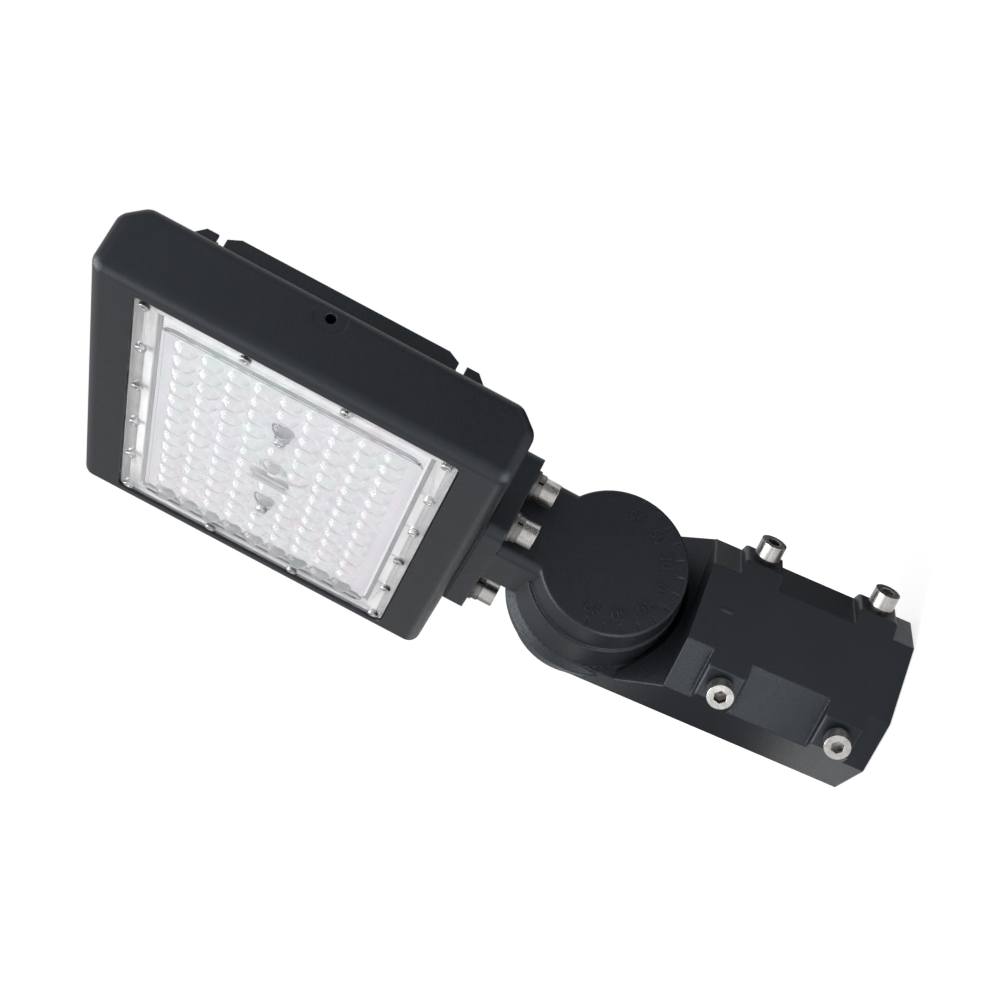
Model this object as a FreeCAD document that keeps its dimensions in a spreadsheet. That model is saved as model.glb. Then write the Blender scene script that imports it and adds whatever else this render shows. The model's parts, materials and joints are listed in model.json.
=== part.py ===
import FreeCAD, Part
import os
import re

import Sketcher
from FreeCAD import Placement, Rotation, Vector

# LED flood light on an adjustable slip fitter, in millimetres.
# The fitter stands on the origin with its tenon bore opening downwards and its axis along Z.
# The tilt axis runs along X at pivot_height, and the lens faces -Y.
# Head pieces are drawn round the tilt axis, in line with the fitter. They take the rest tilt at the end.

DRIVING_SIZES = [
    # slip fitter
    ("tenon_bore", 62.0, "bore over a 60.3 mm pole tenon"),
    ("bore_depth", 96.0, "how far the tenon goes in"),
    ("fitter_width", 81.7, "across the flats of the eight-sided tube"),
    ("fitter_chamfer", 20.4, "corner cut of the tube"),
    ("tube_length", 106.5, "open end to the wall beside the knuckle"),
    ("pivot_height", 152.0, "open end to the tilt axis"),
    ("ring_radius", 44.5, "lower knuckle ring"),
    ("ring_bevel", 4.0, "bevel round the lower ring"),
    ("ring_shoulder", 42.6, "radius where the lower ring starts to draw in"),
    ("ring_shoulder_place", 16.0, "seam to that shoulder"),
    ("ring_waist", 38.0, "radius where it has drawn in"),
    ("ring_waist_place", 26.0, "seam to that waist"),
    ("ring_back", 35.0, "radius of the lower ring at its back"),
    ("gusset_reach", 25.0, "tilt axis to the foot of the sloped gussets"),
    ("gusset_gap", 2.0, "between the upper ring and the gussets"),
    ("boss_chamfer", 11.8, "corner cut left by the clamp screw bosses"),
    ("boss_length", 20.0, "boss along the tube"),
    ("boss_round", 1.5, "ends of the bosses"),
    ("clamp_low", 21.3, "height of the lower clamp screws"),
    ("clamp_step", 61.2, "lower to upper clamp screws"),
    ("clamp_travel", 2.0, "how far a clamp screw can still run in"),
    ("index_length", 6.0, "index mark beside the scale"),
    ("index_width", 1.0, "index mark"),
    ("index_rise", 0.4, "index mark"),
    ("index_drop", 59.0, "tilt axis to the index mark"),
    # knuckle
    ("seam_gap", 0.2, "tooth tip to the middle of the seam"),
    ("tooth_height", 0.9, "seam teeth"),
    ("tooth_width", 2.6, "seam teeth"),
    ("tooth_root_sink", 0.3, "how deep a tooth is rooted"),
    ("tooth_inner", 31.0, "radius where the teeth start"),
    ("tooth_outer", 41.0, "radius where the teeth end"),
    ("tooth_count", 72, "one tooth each 5 degrees"),
    ("upper_ring_radius", 41.5, "upper knuckle ring at the seam"),
    ("ledge_radius", 39.9, "upper ring at the ledge"),
    ("rim_foot_radius", 38.4, "scale disc at its foot"),
    ("disc_radius", 36.9, "scale disc at its face"),
    ("disc_bevel", 0.8, "edge of the scale disc"),
    ("rim_height", 17.0, "scale disc above the ledge"),
    ("cavity_inner", 11.0, "wire cavity round the pivot bolt"),
    ("cavity_outer", 28.0, "wire cavity"),
    ("cavity_depth", 23.0, "wire cavity from the seam, each half"),
    ("wire_hole", 14.0, "wire way"),
    ("wire_offset", 13.0, "wire way beside the seam"),
    ("neck_round", 5.0, "long edges of the neck"),
    ("neck_width", 47.0, "neck, front to back"),
    ("neck_fillet", 5.0, "neck to flange"),
    ("tick_length", 4.0, "scale ticks"),
    ("tick_width", 0.7, "scale ticks"),
    ("tick_depth", 0.4, "scale ticks"),
    ("tick_margin", 1.9, "scale ticks to the disc's edge"),
    ("tick_count", 13, "one tick each 15 degrees"),
    # flange and its bolts
    ("flange_distance", 52.8, "tilt axis to the flange"),
    ("flange_thickness", 10.2, "flange plate"),
    ("flange_width", 120.0, "flange plate"),
    ("flange_depth", 48.0, "flange plate, front to back"),
    ("flange_corner", 6.0, "flange plate"),
    ("flange_gasket_thickness", 1.0, "seal between flange and housing"),
    ("bolt_across", 100.0, "flange bolts"),
    ("bolt_rise", 23.0, "flange bolts, front to back"),
    ("bolt_engagement", 18.0, "flange bolts in the housing"),
    # M8 and M12 hardware
    ("bolt_shank", 8.0, "M8"),
    ("bolt_head", 13.0, "M8 socket head"),
    ("bolt_head_height", 8.0, "M8 socket head"),
    ("bolt_socket", 6.0, "M8 hexagon, across flats"),
    ("bolt_socket_depth", 4.0, "M8 hexagon"),
    ("bolt_hole_gap", 0.5, "round a bolt in a clear hole"),
    ("thread_gap", 0.05, "round a bolt in its thread"),
    ("flat_washer_outer", 16.0, "M8 flat washer"),
    ("flat_washer_thickness", 1.8, "M8 flat washer"),
    ("spring_washer_outer", 14.2, "M8 spring washer"),
    ("spring_washer_thickness", 3.0, "M8 spring washer"),
    ("washer_gap", 0.3, "round a bolt in a washer"),
    ("spring_slit", 1.2, "cut in a spring washer"),
    ("pivot_shank", 12.0, "M12"),
    ("pivot_head", 18.0, "M12 low head"),
    ("pivot_head_height", 7.0, "M12 low head"),
    ("pivot_socket", 8.0, "M12 low head hexagon"),
    ("pivot_socket_depth", 3.5, "M12 low head hexagon"),
    ("pivot_engagement", 28.0, "pivot bolt in the upper knuckle"),
    ("pivot_running_gap", 0.08, "round the pivot bolt in the fitter"),
    ("pivot_washer_outer", 24.0, "M12 washers"),
    ("pivot_flat_thickness", 2.5, "M12 flat washer"),
    ("pivot_spring_thickness", 3.0, "M12 spring washer"),
    ("pivot_spring_outer", 21.0, "M12 spring washer"),
    ("pivot_well", 28.0, "counterbore for the pivot bolt"),
    ("pivot_well_depth", 14.0, "counterbore for the pivot bolt"),
    ("pivot_seat_gap", 0.05, "turning washer on its seat"),
    # housing
    ("housing_length", 206.0, "head, along the fitter axis"),
    ("housing_width", 278.0, "head, along the tilt axis"),
    ("front_depth", 30.0, "tilt axis to the bezel face"),
    ("back_depth", 8.0, "tilt axis to the back rim"),
    ("front_radius", 6.5, "bezel edge"),
    ("back_rise", 9.5, "slope at the back of each end, front to back"),
    ("back_run", 10.5, "slope at the back of each end, along the fitter axis"),
    ("back_radius", 8.0, "edges of the end slopes"),
    ("side_radius", 6.0, "edges of the side walls"),
    ("side_wall", 5.0, "side walls at the back"),
    ("end_wall", 12.0, "end walls at the back"),
    ("plate", 6.0, "wall behind the LED board"),
    ("box_width", 124.0, "driver box"),
    ("box_length", 186.0, "driver box"),
    ("box_depth", 25.0, "tilt axis to the driver box rim"),
    ("box_wall", 6.0, "driver box"),
    ("box_end", 10.0, "driver box wall at the flange"),
    ("box_corner", 8.0, "driver box outer corners"),
    ("bolt_boss", 16.0, "bosses for the flange bolts"),
    ("bolt_boss_length", 12.0, "bosses for the flange bolts"),
    ("fin_first", 68.8, "middle to the first fin"),
    ("fin_margin", 12.1, "last fin to the side of the housing"),
    ("fin_count", 8, "fins on each side"),
    ("fin_thickness", 2.4, "fins"),
    ("fin_half", 87.0, "half length of a fin"),
    ("fin_tip", 17.8, "tilt axis to the fin tips"),
    ("fin_round", 6.0, "sloped corner of a fin tip"),
    ("stub_half", 73.0, "half length at the tip of the outer stubs"),
    ("stub_tip", 15.0, "tilt axis to the stub tips"),
    ("stub_foot", 4.0, "where the stub slope starts"),
    ("notch_place", 60.0, "middle to the cross notch"),
    ("notch_width", 4.0, "cross notch"),
    ("notch_floor", 10.0, "tilt axis to the notch floor"),
    ("side_hole", 5.0, "M6 tapping size"),
    ("side_hole_depth", 13.0, "bracket holes"),
    ("side_boss", 14.0, "boss behind a bracket hole"),
    ("side_boss_length", 10.0, "boss behind a bracket hole"),
    ("spot_face", 16.0, "round a bracket hole"),
    ("spot_face_depth", 0.5, "round a bracket hole"),
    # lens and light board
    ("bezel_end", 22.25, "bezel at the ends, up to the gap round the lens plate"),
    ("bezel_side", 10.75, "bezel at the sides, up to the gap round the lens plate"),
    ("lens_thickness", 4.0, "lens plate"),
    ("lens_corner", 4.0, "lens plate"),
    ("edge_notch_length", 7.0, "notches in the sides of the lens plate"),
    ("edge_notch_depth", 2.8, "notches in the sides of the lens plate"),
    ("lens_recess", 1.5, "lens plate below the bezel face"),
    ("lens_gap", 0.75, "round the lens plate"),
    ("lens_gasket_thickness", 2.0, "seal under the lens"),
    ("lens_gasket_width", 10.5, "seal under the lens"),
    ("screw_inset_end", 5.0, "edge of the lens plate to the screws at its ends"),
    ("screw_inset_side", 6.25, "edge of the lens plate to the screws at its sides"),
    ("field_end", 9.0, "screws at the ends to the raised field"),
    ("field_side", 8.75, "screws at the sides to the raised field"),
    ("field_rise", 1.0, "raised field"),
    ("field_corner", 8.0, "raised field"),
    ("rib_width", 2.5, "rib round the field"),
    ("rib_rise", 0.8, "rib round the field"),
    ("dome_radius", 6.3, "lens domes"),
    ("dome_height", 4.0, "lens domes"),
    ("dome_foot", 0.5, "how deep a dome is rooted"),
    ("dome_step_across", 16.6, "dome to dome along the tilt axis"),
    ("dome_step_along", 13.2, "dome to dome along the fitter axis"),
    ("dome_margin", 2.0, "least room between the domes and the rib"),
    ("centre_screw_rows", 3, "rows from the middle to the centre screws"),
    ("bump_length", 22.0, "wire cover on the lens"),
    ("bump_width", 9.0, "wire cover on the lens"),
    ("bump_rise", 3.0, "wire cover on the lens"),
    ("screw_shank", 3.0, "M3"),
    ("screw_head", 5.5, "M3 pan head"),
    ("screw_head_height", 2.0, "M3 pan head"),
    ("screw_socket", 1.8, "M3 drive recess"),
    ("screw_socket_depth", 1.2, "M3 drive recess"),
    ("screw_recess", 0.4, "how deep a lens screw head is sunk"),
    ("screw_head_gap", 0.5, "round a sunk screw head"),
    ("screw_hole_gap", 0.25, "round a screw in a clear hole"),
    ("screw_bite", 6.0, "lens screws in the housing"),
    ("centre_screw_bite", 4.5, "centre screws in the plate"),
    ("screw_tip_room", 0.7, "below a screw tip in a blind hole"),
    ("screw_pillar", 8.0, "lens pillars round the centre screws"),
    ("led_pocket_depth", 2.5, "light board pocket below the lens seat"),
    ("pocket_margin", 1.0, "round the light board"),
    ("board_end", 1.0, "light board beyond the field at the ends"),
    ("board_side", 2.0, "light board beyond the field at the sides"),
    ("board_thickness", 1.6, "light board"),
    ("pad_thickness", 0.5, "thermal pad"),
    ("pad_inset", 4.5, "thermal pad inside the board's edge"),
    ("chip_size", 3.0, "LED chips"),
    ("chip_height", 0.8, "LED chips"),
    ("lead_hole", 9.0, "way for the board leads"),
    ("connector_length", 16.0, "board connector"),
    ("connector_width", 12.0, "board connector"),
    ("connector_height", 3.5, "board connector"),
    ("connector_gap", 1.0, "round the board connector"),
    # driver box contents
    ("driver_length", 132.0, "LED driver case"),
    ("driver_width", 64.0, "LED driver case"),
    ("driver_height", 30.0, "LED driver case"),
    ("driver_end_room", 8.0, "driver box end to the driver case"),
    ("ear_length", 7.0, "driver mounting ears"),
    ("ear_width", 24.0, "driver mounting ears"),
    ("ear_thickness", 3.0, "driver mounting ears"),
    ("m4_shank", 4.0, "M4"),
    ("m4_head", 6.5, "M4 pan head"),
    ("m4_head_height", 2.8, "M4 pan head"),
    ("m4_bite", 4.5, "M4 in the plate"),
    ("terminal_width", 34.0, "terminal block"),
    ("terminal_length", 16.0, "terminal block"),
    ("terminal_height", 15.0, "terminal block"),
    ("terminal_offset", 21.0, "middle to the terminal block"),
    ("terminal_room", 6.0, "box end to the terminal block"),
    ("lead_thickness", 2.2, "leads"),
    ("supply_lead_step", 9.0, "supply leads"),
    ("supply_lead_rise", 8.0, "supply leads above the plate"),
    ("led_lead_step", 4.0, "board leads"),
    ("ground_offset", 32.0, "middle to the ground screw"),
    ("ground_room", 14.0, "box end to the ground screw"),
    ("grommet_flange", 20.0, "grommet collar"),
    ("grommet_flange_thickness", 3.0, "grommet collar"),
    ("grommet_bore", 9.0, "grommet"),
    ("grommet_gap", 0.1, "round the grommet"),
    ("cover_thickness", 3.0, "driver box cover"),
    ("cover_inset", 1.0, "cover inside the box outline"),
    ("cover_gasket_thickness", 1.0, "seal under the cover"),
    ("cover_rib_count", 9, "ribs on the cover"),
    ("cover_rib_step", 12.0, "ribs on the cover"),
    ("cover_rib_width", 2.4, "ribs on the cover"),
    ("cover_rib_rise", 3.0, "ribs on the cover"),
    ("cover_rib_margin", 12.0, "cover end to the ribs"),
    ("cover_screw_bite", 8.0, "cover screws in the box wall"),
    # pose
    ("rest_tilt", 5.0, "degrees that the head leans back at rest"),
]

# Sizes that follow from the ones above, so that what the housing holds stays inside it.
TIED_SIZES = [
    ("lens_length", "housing_length - (bezel_end + lens_gap) * 2", "lens plate"),
    ("lens_width", "housing_width - (bezel_side + lens_gap) * 2", "lens plate"),
    ("lens_screw_along", "(lens_length - screw_inset_end * 2) / 3", "screw to screw along the fitter axis"),
    ("lens_screw_across", "(lens_width - screw_inset_side * 2) / 5", "screw to screw along the tilt axis"),
    ("field_length", "lens_length - (screw_inset_end + field_end) * 2", "raised field with the domes"),
    ("field_width", "lens_width - (screw_inset_side + field_side) * 2", "raised field with the domes"),
    ("field_room_along", "field_length / 2 - rib_width - dome_radius - dome_margin", "middle to the last dome"),
    ("field_room_across", "field_width / 2 - rib_width - dome_radius - dome_margin", "middle to the last dome"),
    ("dome_columns", "floor(field_room_along / dome_step_along) * 2 + 1", "along the fitter axis"),
    ("dome_rows", "floor(field_room_across / dome_step_across) * 2 + 1", "along the tilt axis"),
    ("board_length", "field_length + board_end * 2", "light board"),
    ("board_width", "field_width + board_side * 2", "light board"),
]

FRONT = Vector(0, -1, 0)
BACK = Vector(0, 1, 0)
UP = Vector(0, 0, 1)
DOWN = Vector(0, 0, -1)
RIGHT = Vector(1, 0, 0)
LEFT = Vector(-1, 0, 0)

# Formulas that more than one piece uses.
HOUSING_START = "(flange_distance + flange_thickness + flange_gasket_thickness)"
HOUSING_END = f"({HOUSING_START} + housing_length)"
MIDDLE = f"({HOUSING_START} + housing_length / 2)"
LENS_FRONT = "(front_depth - lens_recess)"
LENS_BACK = f"({LENS_FRONT} - lens_thickness)"
LENS_SEAT = f"({LENS_BACK} - lens_gasket_thickness)"
FIELD_FRONT = f"({LENS_FRONT} + field_rise)"
POCKET_FLOOR = f"({LENS_SEAT} - led_pocket_depth)"
BOARD_BACK = f"({POCKET_FLOOR} + pad_thickness)"
BOARD_FRONT = f"({BOARD_BACK} + board_thickness)"
PLATE_BACK = f"({POCKET_FLOOR} - plate)"
SCREW_SEAT = f"({LENS_FRONT} - screw_recess)"
CENTRE_SEAT = f"({FIELD_FRONT} - screw_recess)"
BOX_END = f"({HOUSING_START} + box_length)"
BOX_INSIDE_START = f"({HOUSING_START} + box_end)"
BOX_INSIDE_END = f"({BOX_END} - box_wall)"
DRIVER_END = f"({BOX_INSIDE_END} - driver_end_room)"
DRIVER_START = f"({DRIVER_END} - driver_length)"
COVER_BACK = "(box_depth + cover_gasket_thickness + cover_thickness)"
DISC_TOP = "(fitter_width / 2)"
TOOTH_ROOT = "(seam_gap + tooth_height)"
WELL_FLOOR = "(fitter_width / 2 - pivot_well_depth)"
BOLT_SEAT = "(flange_distance - flat_washer_thickness - spring_washer_thickness)"
FIN_STEP = "((housing_width / 2 - fin_margin - fin_first) / (fin_count - 1))"
CENTRE_SCREW = "(dome_step_across * centre_screw_rows)"
COVER_SCREW_LINE = "(box_width / 2 - box_wall / 2)"

doc = FreeCAD.newDocument("LedFloodLight")
sheet = doc.addObject("Spreadsheet::Sheet", "Sizes")
for line, (alias, size, note) in enumerate(DRIVING_SIZES + TIED_SIZES, start=1):
    sheet.set(f"A{line}", alias)
    sheet.set(f"B{line}", f"={size}")
    sheet.set(f"C{line}", note)
    sheet.setAlias(f"B{line}", alias)
doc.recompute()

ALIASES = {alias for alias, size, note in DRIVING_SIZES + TIED_SIZES}
WORD = re.compile(r"[a-z][a-z0-9_]*")
PLANES = {"XY": "XY_Plane", "XZ": "XZ_Plane", "YZ": "YZ_Plane"}
# The XZ plane's own normal points to -Y, so a level along +Y is a negative offset there.
LEVEL_SIGN = {"XY": "", "XZ": "-", "YZ": ""}
ORIGIN = -1
H_AXIS = -1
V_AXIS = -2


def formula(text):
    """The formula with the sheet's name before each of the sheet's words."""
    return WORD.sub(lambda word: f"Sizes.{word.group()}" if word.group() in ALIASES else word.group(), text)


def value(text):
    """The number that a formula gives."""
    return float(sheet.evalExpression(formula(text)))


class Drawing:
    """A sketch on one of a body's own planes, with every point and radius bound to the sheet."""

    def __init__(self, body, name, plane, level="0", origin=("0", "0"), turn=None):
        self.sketch = body.newObject("Sketcher::SketchObject", name)
        support = next(f for f in body.Origin.OriginFeatures if f.Role == PLANES[plane])
        self.sketch.AttachmentSupport = (support, [""])
        self.sketch.MapMode = "FlatFace"
        if turn is not None:
            self.sketch.AttachmentOffset = Placement(Vector(), turn)
        self.sketch.setExpression("AttachmentOffset.Base.x", formula(origin[0]))
        self.sketch.setExpression("AttachmentOffset.Base.y", formula(origin[1]))
        self.sketch.setExpression("AttachmentOffset.Base.z", formula(f"{LEVEL_SIGN[plane]}({level})"))
        self.sketch.recompute()

    def bind(self, constraint, text):
        """Adds a constraint whose size follows a formula."""
        index = self.sketch.addConstraint(constraint)
        self.sketch.setExpression(f"Constraints[{index}]", formula(text))

    def pin(self, geometry, vertex, x, y):
        """Holds a point at a place that follows two formulas."""
        for text, kind, axis in ((x, "DistanceX", V_AXIS), (y, "DistanceY", H_AXIS)):
            distance = value(text)
            if abs(distance) < 1e-9:
                self.sketch.addConstraint(Sketcher.Constraint("PointOnObject", geometry, vertex, axis))
            elif distance > 0:
                self.bind(Sketcher.Constraint(kind, ORIGIN, 1, geometry, vertex, distance), text)
            else:
                self.bind(Sketcher.Constraint(kind, geometry, vertex, ORIGIN, 1, -distance), f"-({text})")

    def polygon(self, *points):
        """A closed outline through the points."""
        places = [Vector(value(x), value(y), 0) for x, y in points]
        sides = []
        for start, end in zip(places, places[1:] + places[:1]):
            sides.append(self.sketch.addGeometry(Part.LineSegment(start, end)))
        for side, following in zip(sides, sides[1:] + sides[:1]):
            self.sketch.addConstraint(Sketcher.Constraint("Coincident", side, 2, following, 1))
        for side, (x, y) in zip(sides, points):
            self.pin(side, 1, x, y)
        return self

    def rectangle(self, left, bottom, right, top):
        """A rectangle between two corners."""
        return self.polygon((left, bottom), (right, bottom), (right, top), (left, top))

    def circle(self, x, y, radius):
        """A circle about a point."""
        centre = Vector(value(x), value(y), 0)
        ring = self.sketch.addGeometry(Part.Circle(centre, Vector(0, 0, 1), value(radius)))
        self.pin(ring, 3, x, y)
        self.bind(Sketcher.Constraint("Radius", ring, value(radius)), radius)
        return self

    def hexagon(self, x, y, across_flats):
        """A hexagon about a point, with two sides level."""
        flat = f"({across_flats}) / 2"
        corner = f"({across_flats}) / sqrt(3)"
        offsets = [(corner, "0"), (f"{corner} / 2", flat), (f"-{corner} / 2", flat)]
        offsets += [(f"-{corner}", "0"), (f"-{corner} / 2", f"-{flat}"), (f"{corner} / 2", f"-{flat}")]
        return self.polygon(*[(f"{x} + {dx}", f"{y} + {dy}") for dx, dy in offsets])

    def dome(self, foot, top, radius):
        """Half the section of a round cap, to be turned about the sketch's level axis."""
        foot_x, top_x, rim = value(foot), value(top), value(radius)
        rise = abs(top_x - foot_x)
        ball = (rim ** 2 + rise ** 2) / (2 * rise)
        centre_x = top_x + ball if top_x < foot_x else top_x - ball
        bend = Vector(rim / 2, 0, 0)
        bend_x = (ball ** 2 - bend.x ** 2) ** 0.5
        middle = Vector(centre_x - bend_x if top_x < foot_x else centre_x + bend_x, bend.x, 0)
        arc = self.sketch.addGeometry(Part.Arc(Vector(top_x, 0, 0), middle, Vector(foot_x, rim, 0)))
        side = self.sketch.addGeometry(Part.LineSegment(Vector(foot_x, rim, 0), Vector(foot_x, 0, 0)))
        base = self.sketch.addGeometry(Part.LineSegment(Vector(foot_x, 0, 0), Vector(top_x, 0, 0)))
        tip, rim_end = (1, 2) if self.sketch.getPoint(arc, 1).y < self.sketch.getPoint(arc, 2).y else (2, 1)
        self.sketch.addConstraint(Sketcher.Constraint("Coincident", arc, rim_end, side, 1))
        self.sketch.addConstraint(Sketcher.Constraint("Coincident", side, 2, base, 1))
        self.sketch.addConstraint(Sketcher.Constraint("Coincident", base, 2, arc, tip))
        self.sketch.addConstraint(Sketcher.Constraint("PointOnObject", arc, 3, H_AXIS))
        self.pin(side, 1, foot, radius)
        self.pin(side, 2, foot, "0")
        self.pin(base, 2, top, "0")
        return self


def extrude(kind, body, name, drawing, length, toward, with_normal):
    """A pad or pocket of a drawing, towards a direction."""
    feature = body.newObject(kind, name)
    feature.Profile = drawing.sketch
    normal = drawing.sketch.Placement.Rotation.multVec(Vector(0, 0, 1))
    feature.Reversed = (normal.dot(toward) > 0) != with_normal
    feature.setExpression("Length", formula(length))
    return feature


def pad(body, name, drawing, length, toward):
    """Adds a drawing's solid."""
    return extrude("PartDesign::Pad", body, name, drawing, length, toward, True)


def pocket(body, name, drawing, length, toward):
    """Cuts a drawing's solid away."""
    return extrude("PartDesign::Pocket", body, name, drawing, length, toward, False)


def turn(body, name, drawing, axis="H_Axis", cut=False):
    """Adds or cuts a drawing turned once about one of its own axes."""
    feature = body.newObject("PartDesign::Groove" if cut else "PartDesign::Revolution", name)
    feature.Profile = drawing.sketch
    feature.ReferenceAxis = (drawing.sketch, [axis])
    feature.Angle = 360
    return feature


def line_up(body, name, feature, drawing, axis, step, number, reverse=False):
    """Repeats a feature along one of a drawing's axes."""
    pattern = body.newObject("PartDesign::LinearPattern", name)
    pattern.Originals = [feature]
    pattern.Direction = (drawing.sketch, [axis])
    pattern.Reversed = reverse
    pattern.setExpression("Length", formula(f"{step} * ({number} - 1)"))
    pattern.setExpression("Occurrences", formula(number))
    body.Tip = pattern
    return pattern


def spread(body, name, feature, drawing, across, along):
    """Repeats a feature over a grid. Each of across and along is a step and a number."""
    pattern = line_up(body, name, feature, drawing, "H_Axis", *across)
    pattern.Direction2 = (drawing.sketch, ["V_Axis"])
    pattern.setExpression("Length2", formula(f"{along[0]} * ({along[1]} - 1)"))
    pattern.setExpression("Occurrences2", formula(along[1]))
    return pattern


def ring_of(body, name, feature, drawing, axis, number, angle=360):
    """Repeats a feature round one of a drawing's axes."""
    pattern = body.newObject("PartDesign::PolarPattern", name)
    pattern.Originals = [feature]
    pattern.Axis = (drawing.sketch, [axis])
    pattern.Angle = angle
    pattern.setExpression("Occurrences", formula(number))
    body.Tip = pattern
    return pattern


def runs_along(edge, direction):
    """True for a straight edge along a direction."""
    return isinstance(edge.Curve, Part.Line) and abs(edge.Curve.Direction.dot(direction)) > 0.999


def at(edge, **places):
    """True if the middle of an edge lies at the given x, y or z."""
    middle = edge.valueAt((edge.FirstParameter + edge.LastParameter) / 2)
    return all(abs(abs(getattr(middle, axis)) - abs(place)) < 0.01 for axis, place in places.items())


def fillet(body, name, feature, radius, chosen):
    """Rounds the edges of a feature that a test chooses."""
    doc.recompute()
    edges = [f"Edge{number}" for number, edge in enumerate(feature.Shape.Edges, start=1) if chosen(edge)]
    rounding = body.newObject("PartDesign::Fillet", name)
    rounding.Base = (feature, edges)
    rounding.setExpression("Radius", formula(radius))
    doc.recompute()
    return rounding


nodes = {}
head_nodes = []


def new_body(name, in_head=True):
    """A named piece. Pieces of the head are turned to the rest tilt at the end."""
    body = doc.addObject("PartDesign::Body", name)
    nodes[name] = body
    if in_head:
        head_nodes.append(body)
    return body


def lens_screw_places():
    """The sixteen places round the lens: six along the tilt axis, four along the fitter axis."""
    for across in (-2.5, -1.5, -0.5, 0.5, 1.5, 2.5):
        for along in (-1.5, -0.5, 0.5, 1.5):
            if abs(across) == 2.5 or abs(along) == 1.5:
                yield f"lens_screw_across * {across}", f"{MIDDLE} + lens_screw_along * {along}"


def edge_notch_corners():
    """Lower left and upper right corners of the four notches in the sides of the lens plate."""
    for side in ("", "-"):
        for along in (-0.5, 0.5):
            edge = f"{side}lens_width / 2"
            place = f"({MIDDLE} + lens_screw_along * {along})"
            yield (
                f"{edge} - edge_notch_depth", f"{place} - edge_notch_length / 2",
                f"{edge} + edge_notch_depth", f"{place} + edge_notch_length / 2",
            )


def centre_screw_places():
    """The two places in the lens field."""
    for side in ("", "-"):
        yield f"{side}{CENTRE_SCREW}", MIDDLE


def cover_screw_places():
    """Three places along each long wall of the driver box."""
    for side in ("", "-"):
        for along in (-0.42, 0.0, 0.42):
            yield f"{side}{COVER_SCREW_LINE}", f"{HOUSING_START} + box_length / 2 + box_length * {along}"


def flange_bolt_places():
    """The four corners of the bolt pattern."""
    for side in ("", "-"):
        for depth in ("", "-"):
            yield f"{side}bolt_across / 2", f"{depth}bolt_rise / 2"


def driver_screw_places():
    """The middle of each driver ear."""
    yield "0", f"{DRIVER_START} - ear_length / 2"
    yield "0", f"{DRIVER_END} + ear_length / 2"


def circles(drawing, places, radius):
    """A circle of one radius at each place."""
    for x, y in places:
        drawing.circle(x, y, radius)
    return drawing


def centred(drawing, width, length, middle=MIDDLE):
    """A rectangle round the middle of the head."""
    half = f"({width}) / 2"
    return drawing.rectangle(f"-{half}", f"{middle} - ({length}) / 2", half, f"{middle} + ({length}) / 2")


def seam_teeth(body, side, centre):
    """The ring of seam teeth on one knuckle half. side is 1 on the upper half and -1 on the lower."""
    sign = "" if side > 0 else "-"
    tooth = Drawing(body, "ToothSection", "XY", f"{centre} + tooth_inner")
    foot = f"{sign}({TOOTH_ROOT} + tooth_root_sink)"
    tooth.polygon((f"{sign}seam_gap", "0"), (foot, "tooth_width / 2"), (foot, "-tooth_width / 2"))
    first = pad(body, "Tooth", tooth, "tooth_outer - tooth_inner", UP)
    hub = Drawing(body, "ToothCentre", "YZ", "0", ("0", centre)).circle("0", "0", "tooth_outer")
    ring_of(body, "Teeth", first, hub, "N_Axis", "tooth_count")


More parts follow.
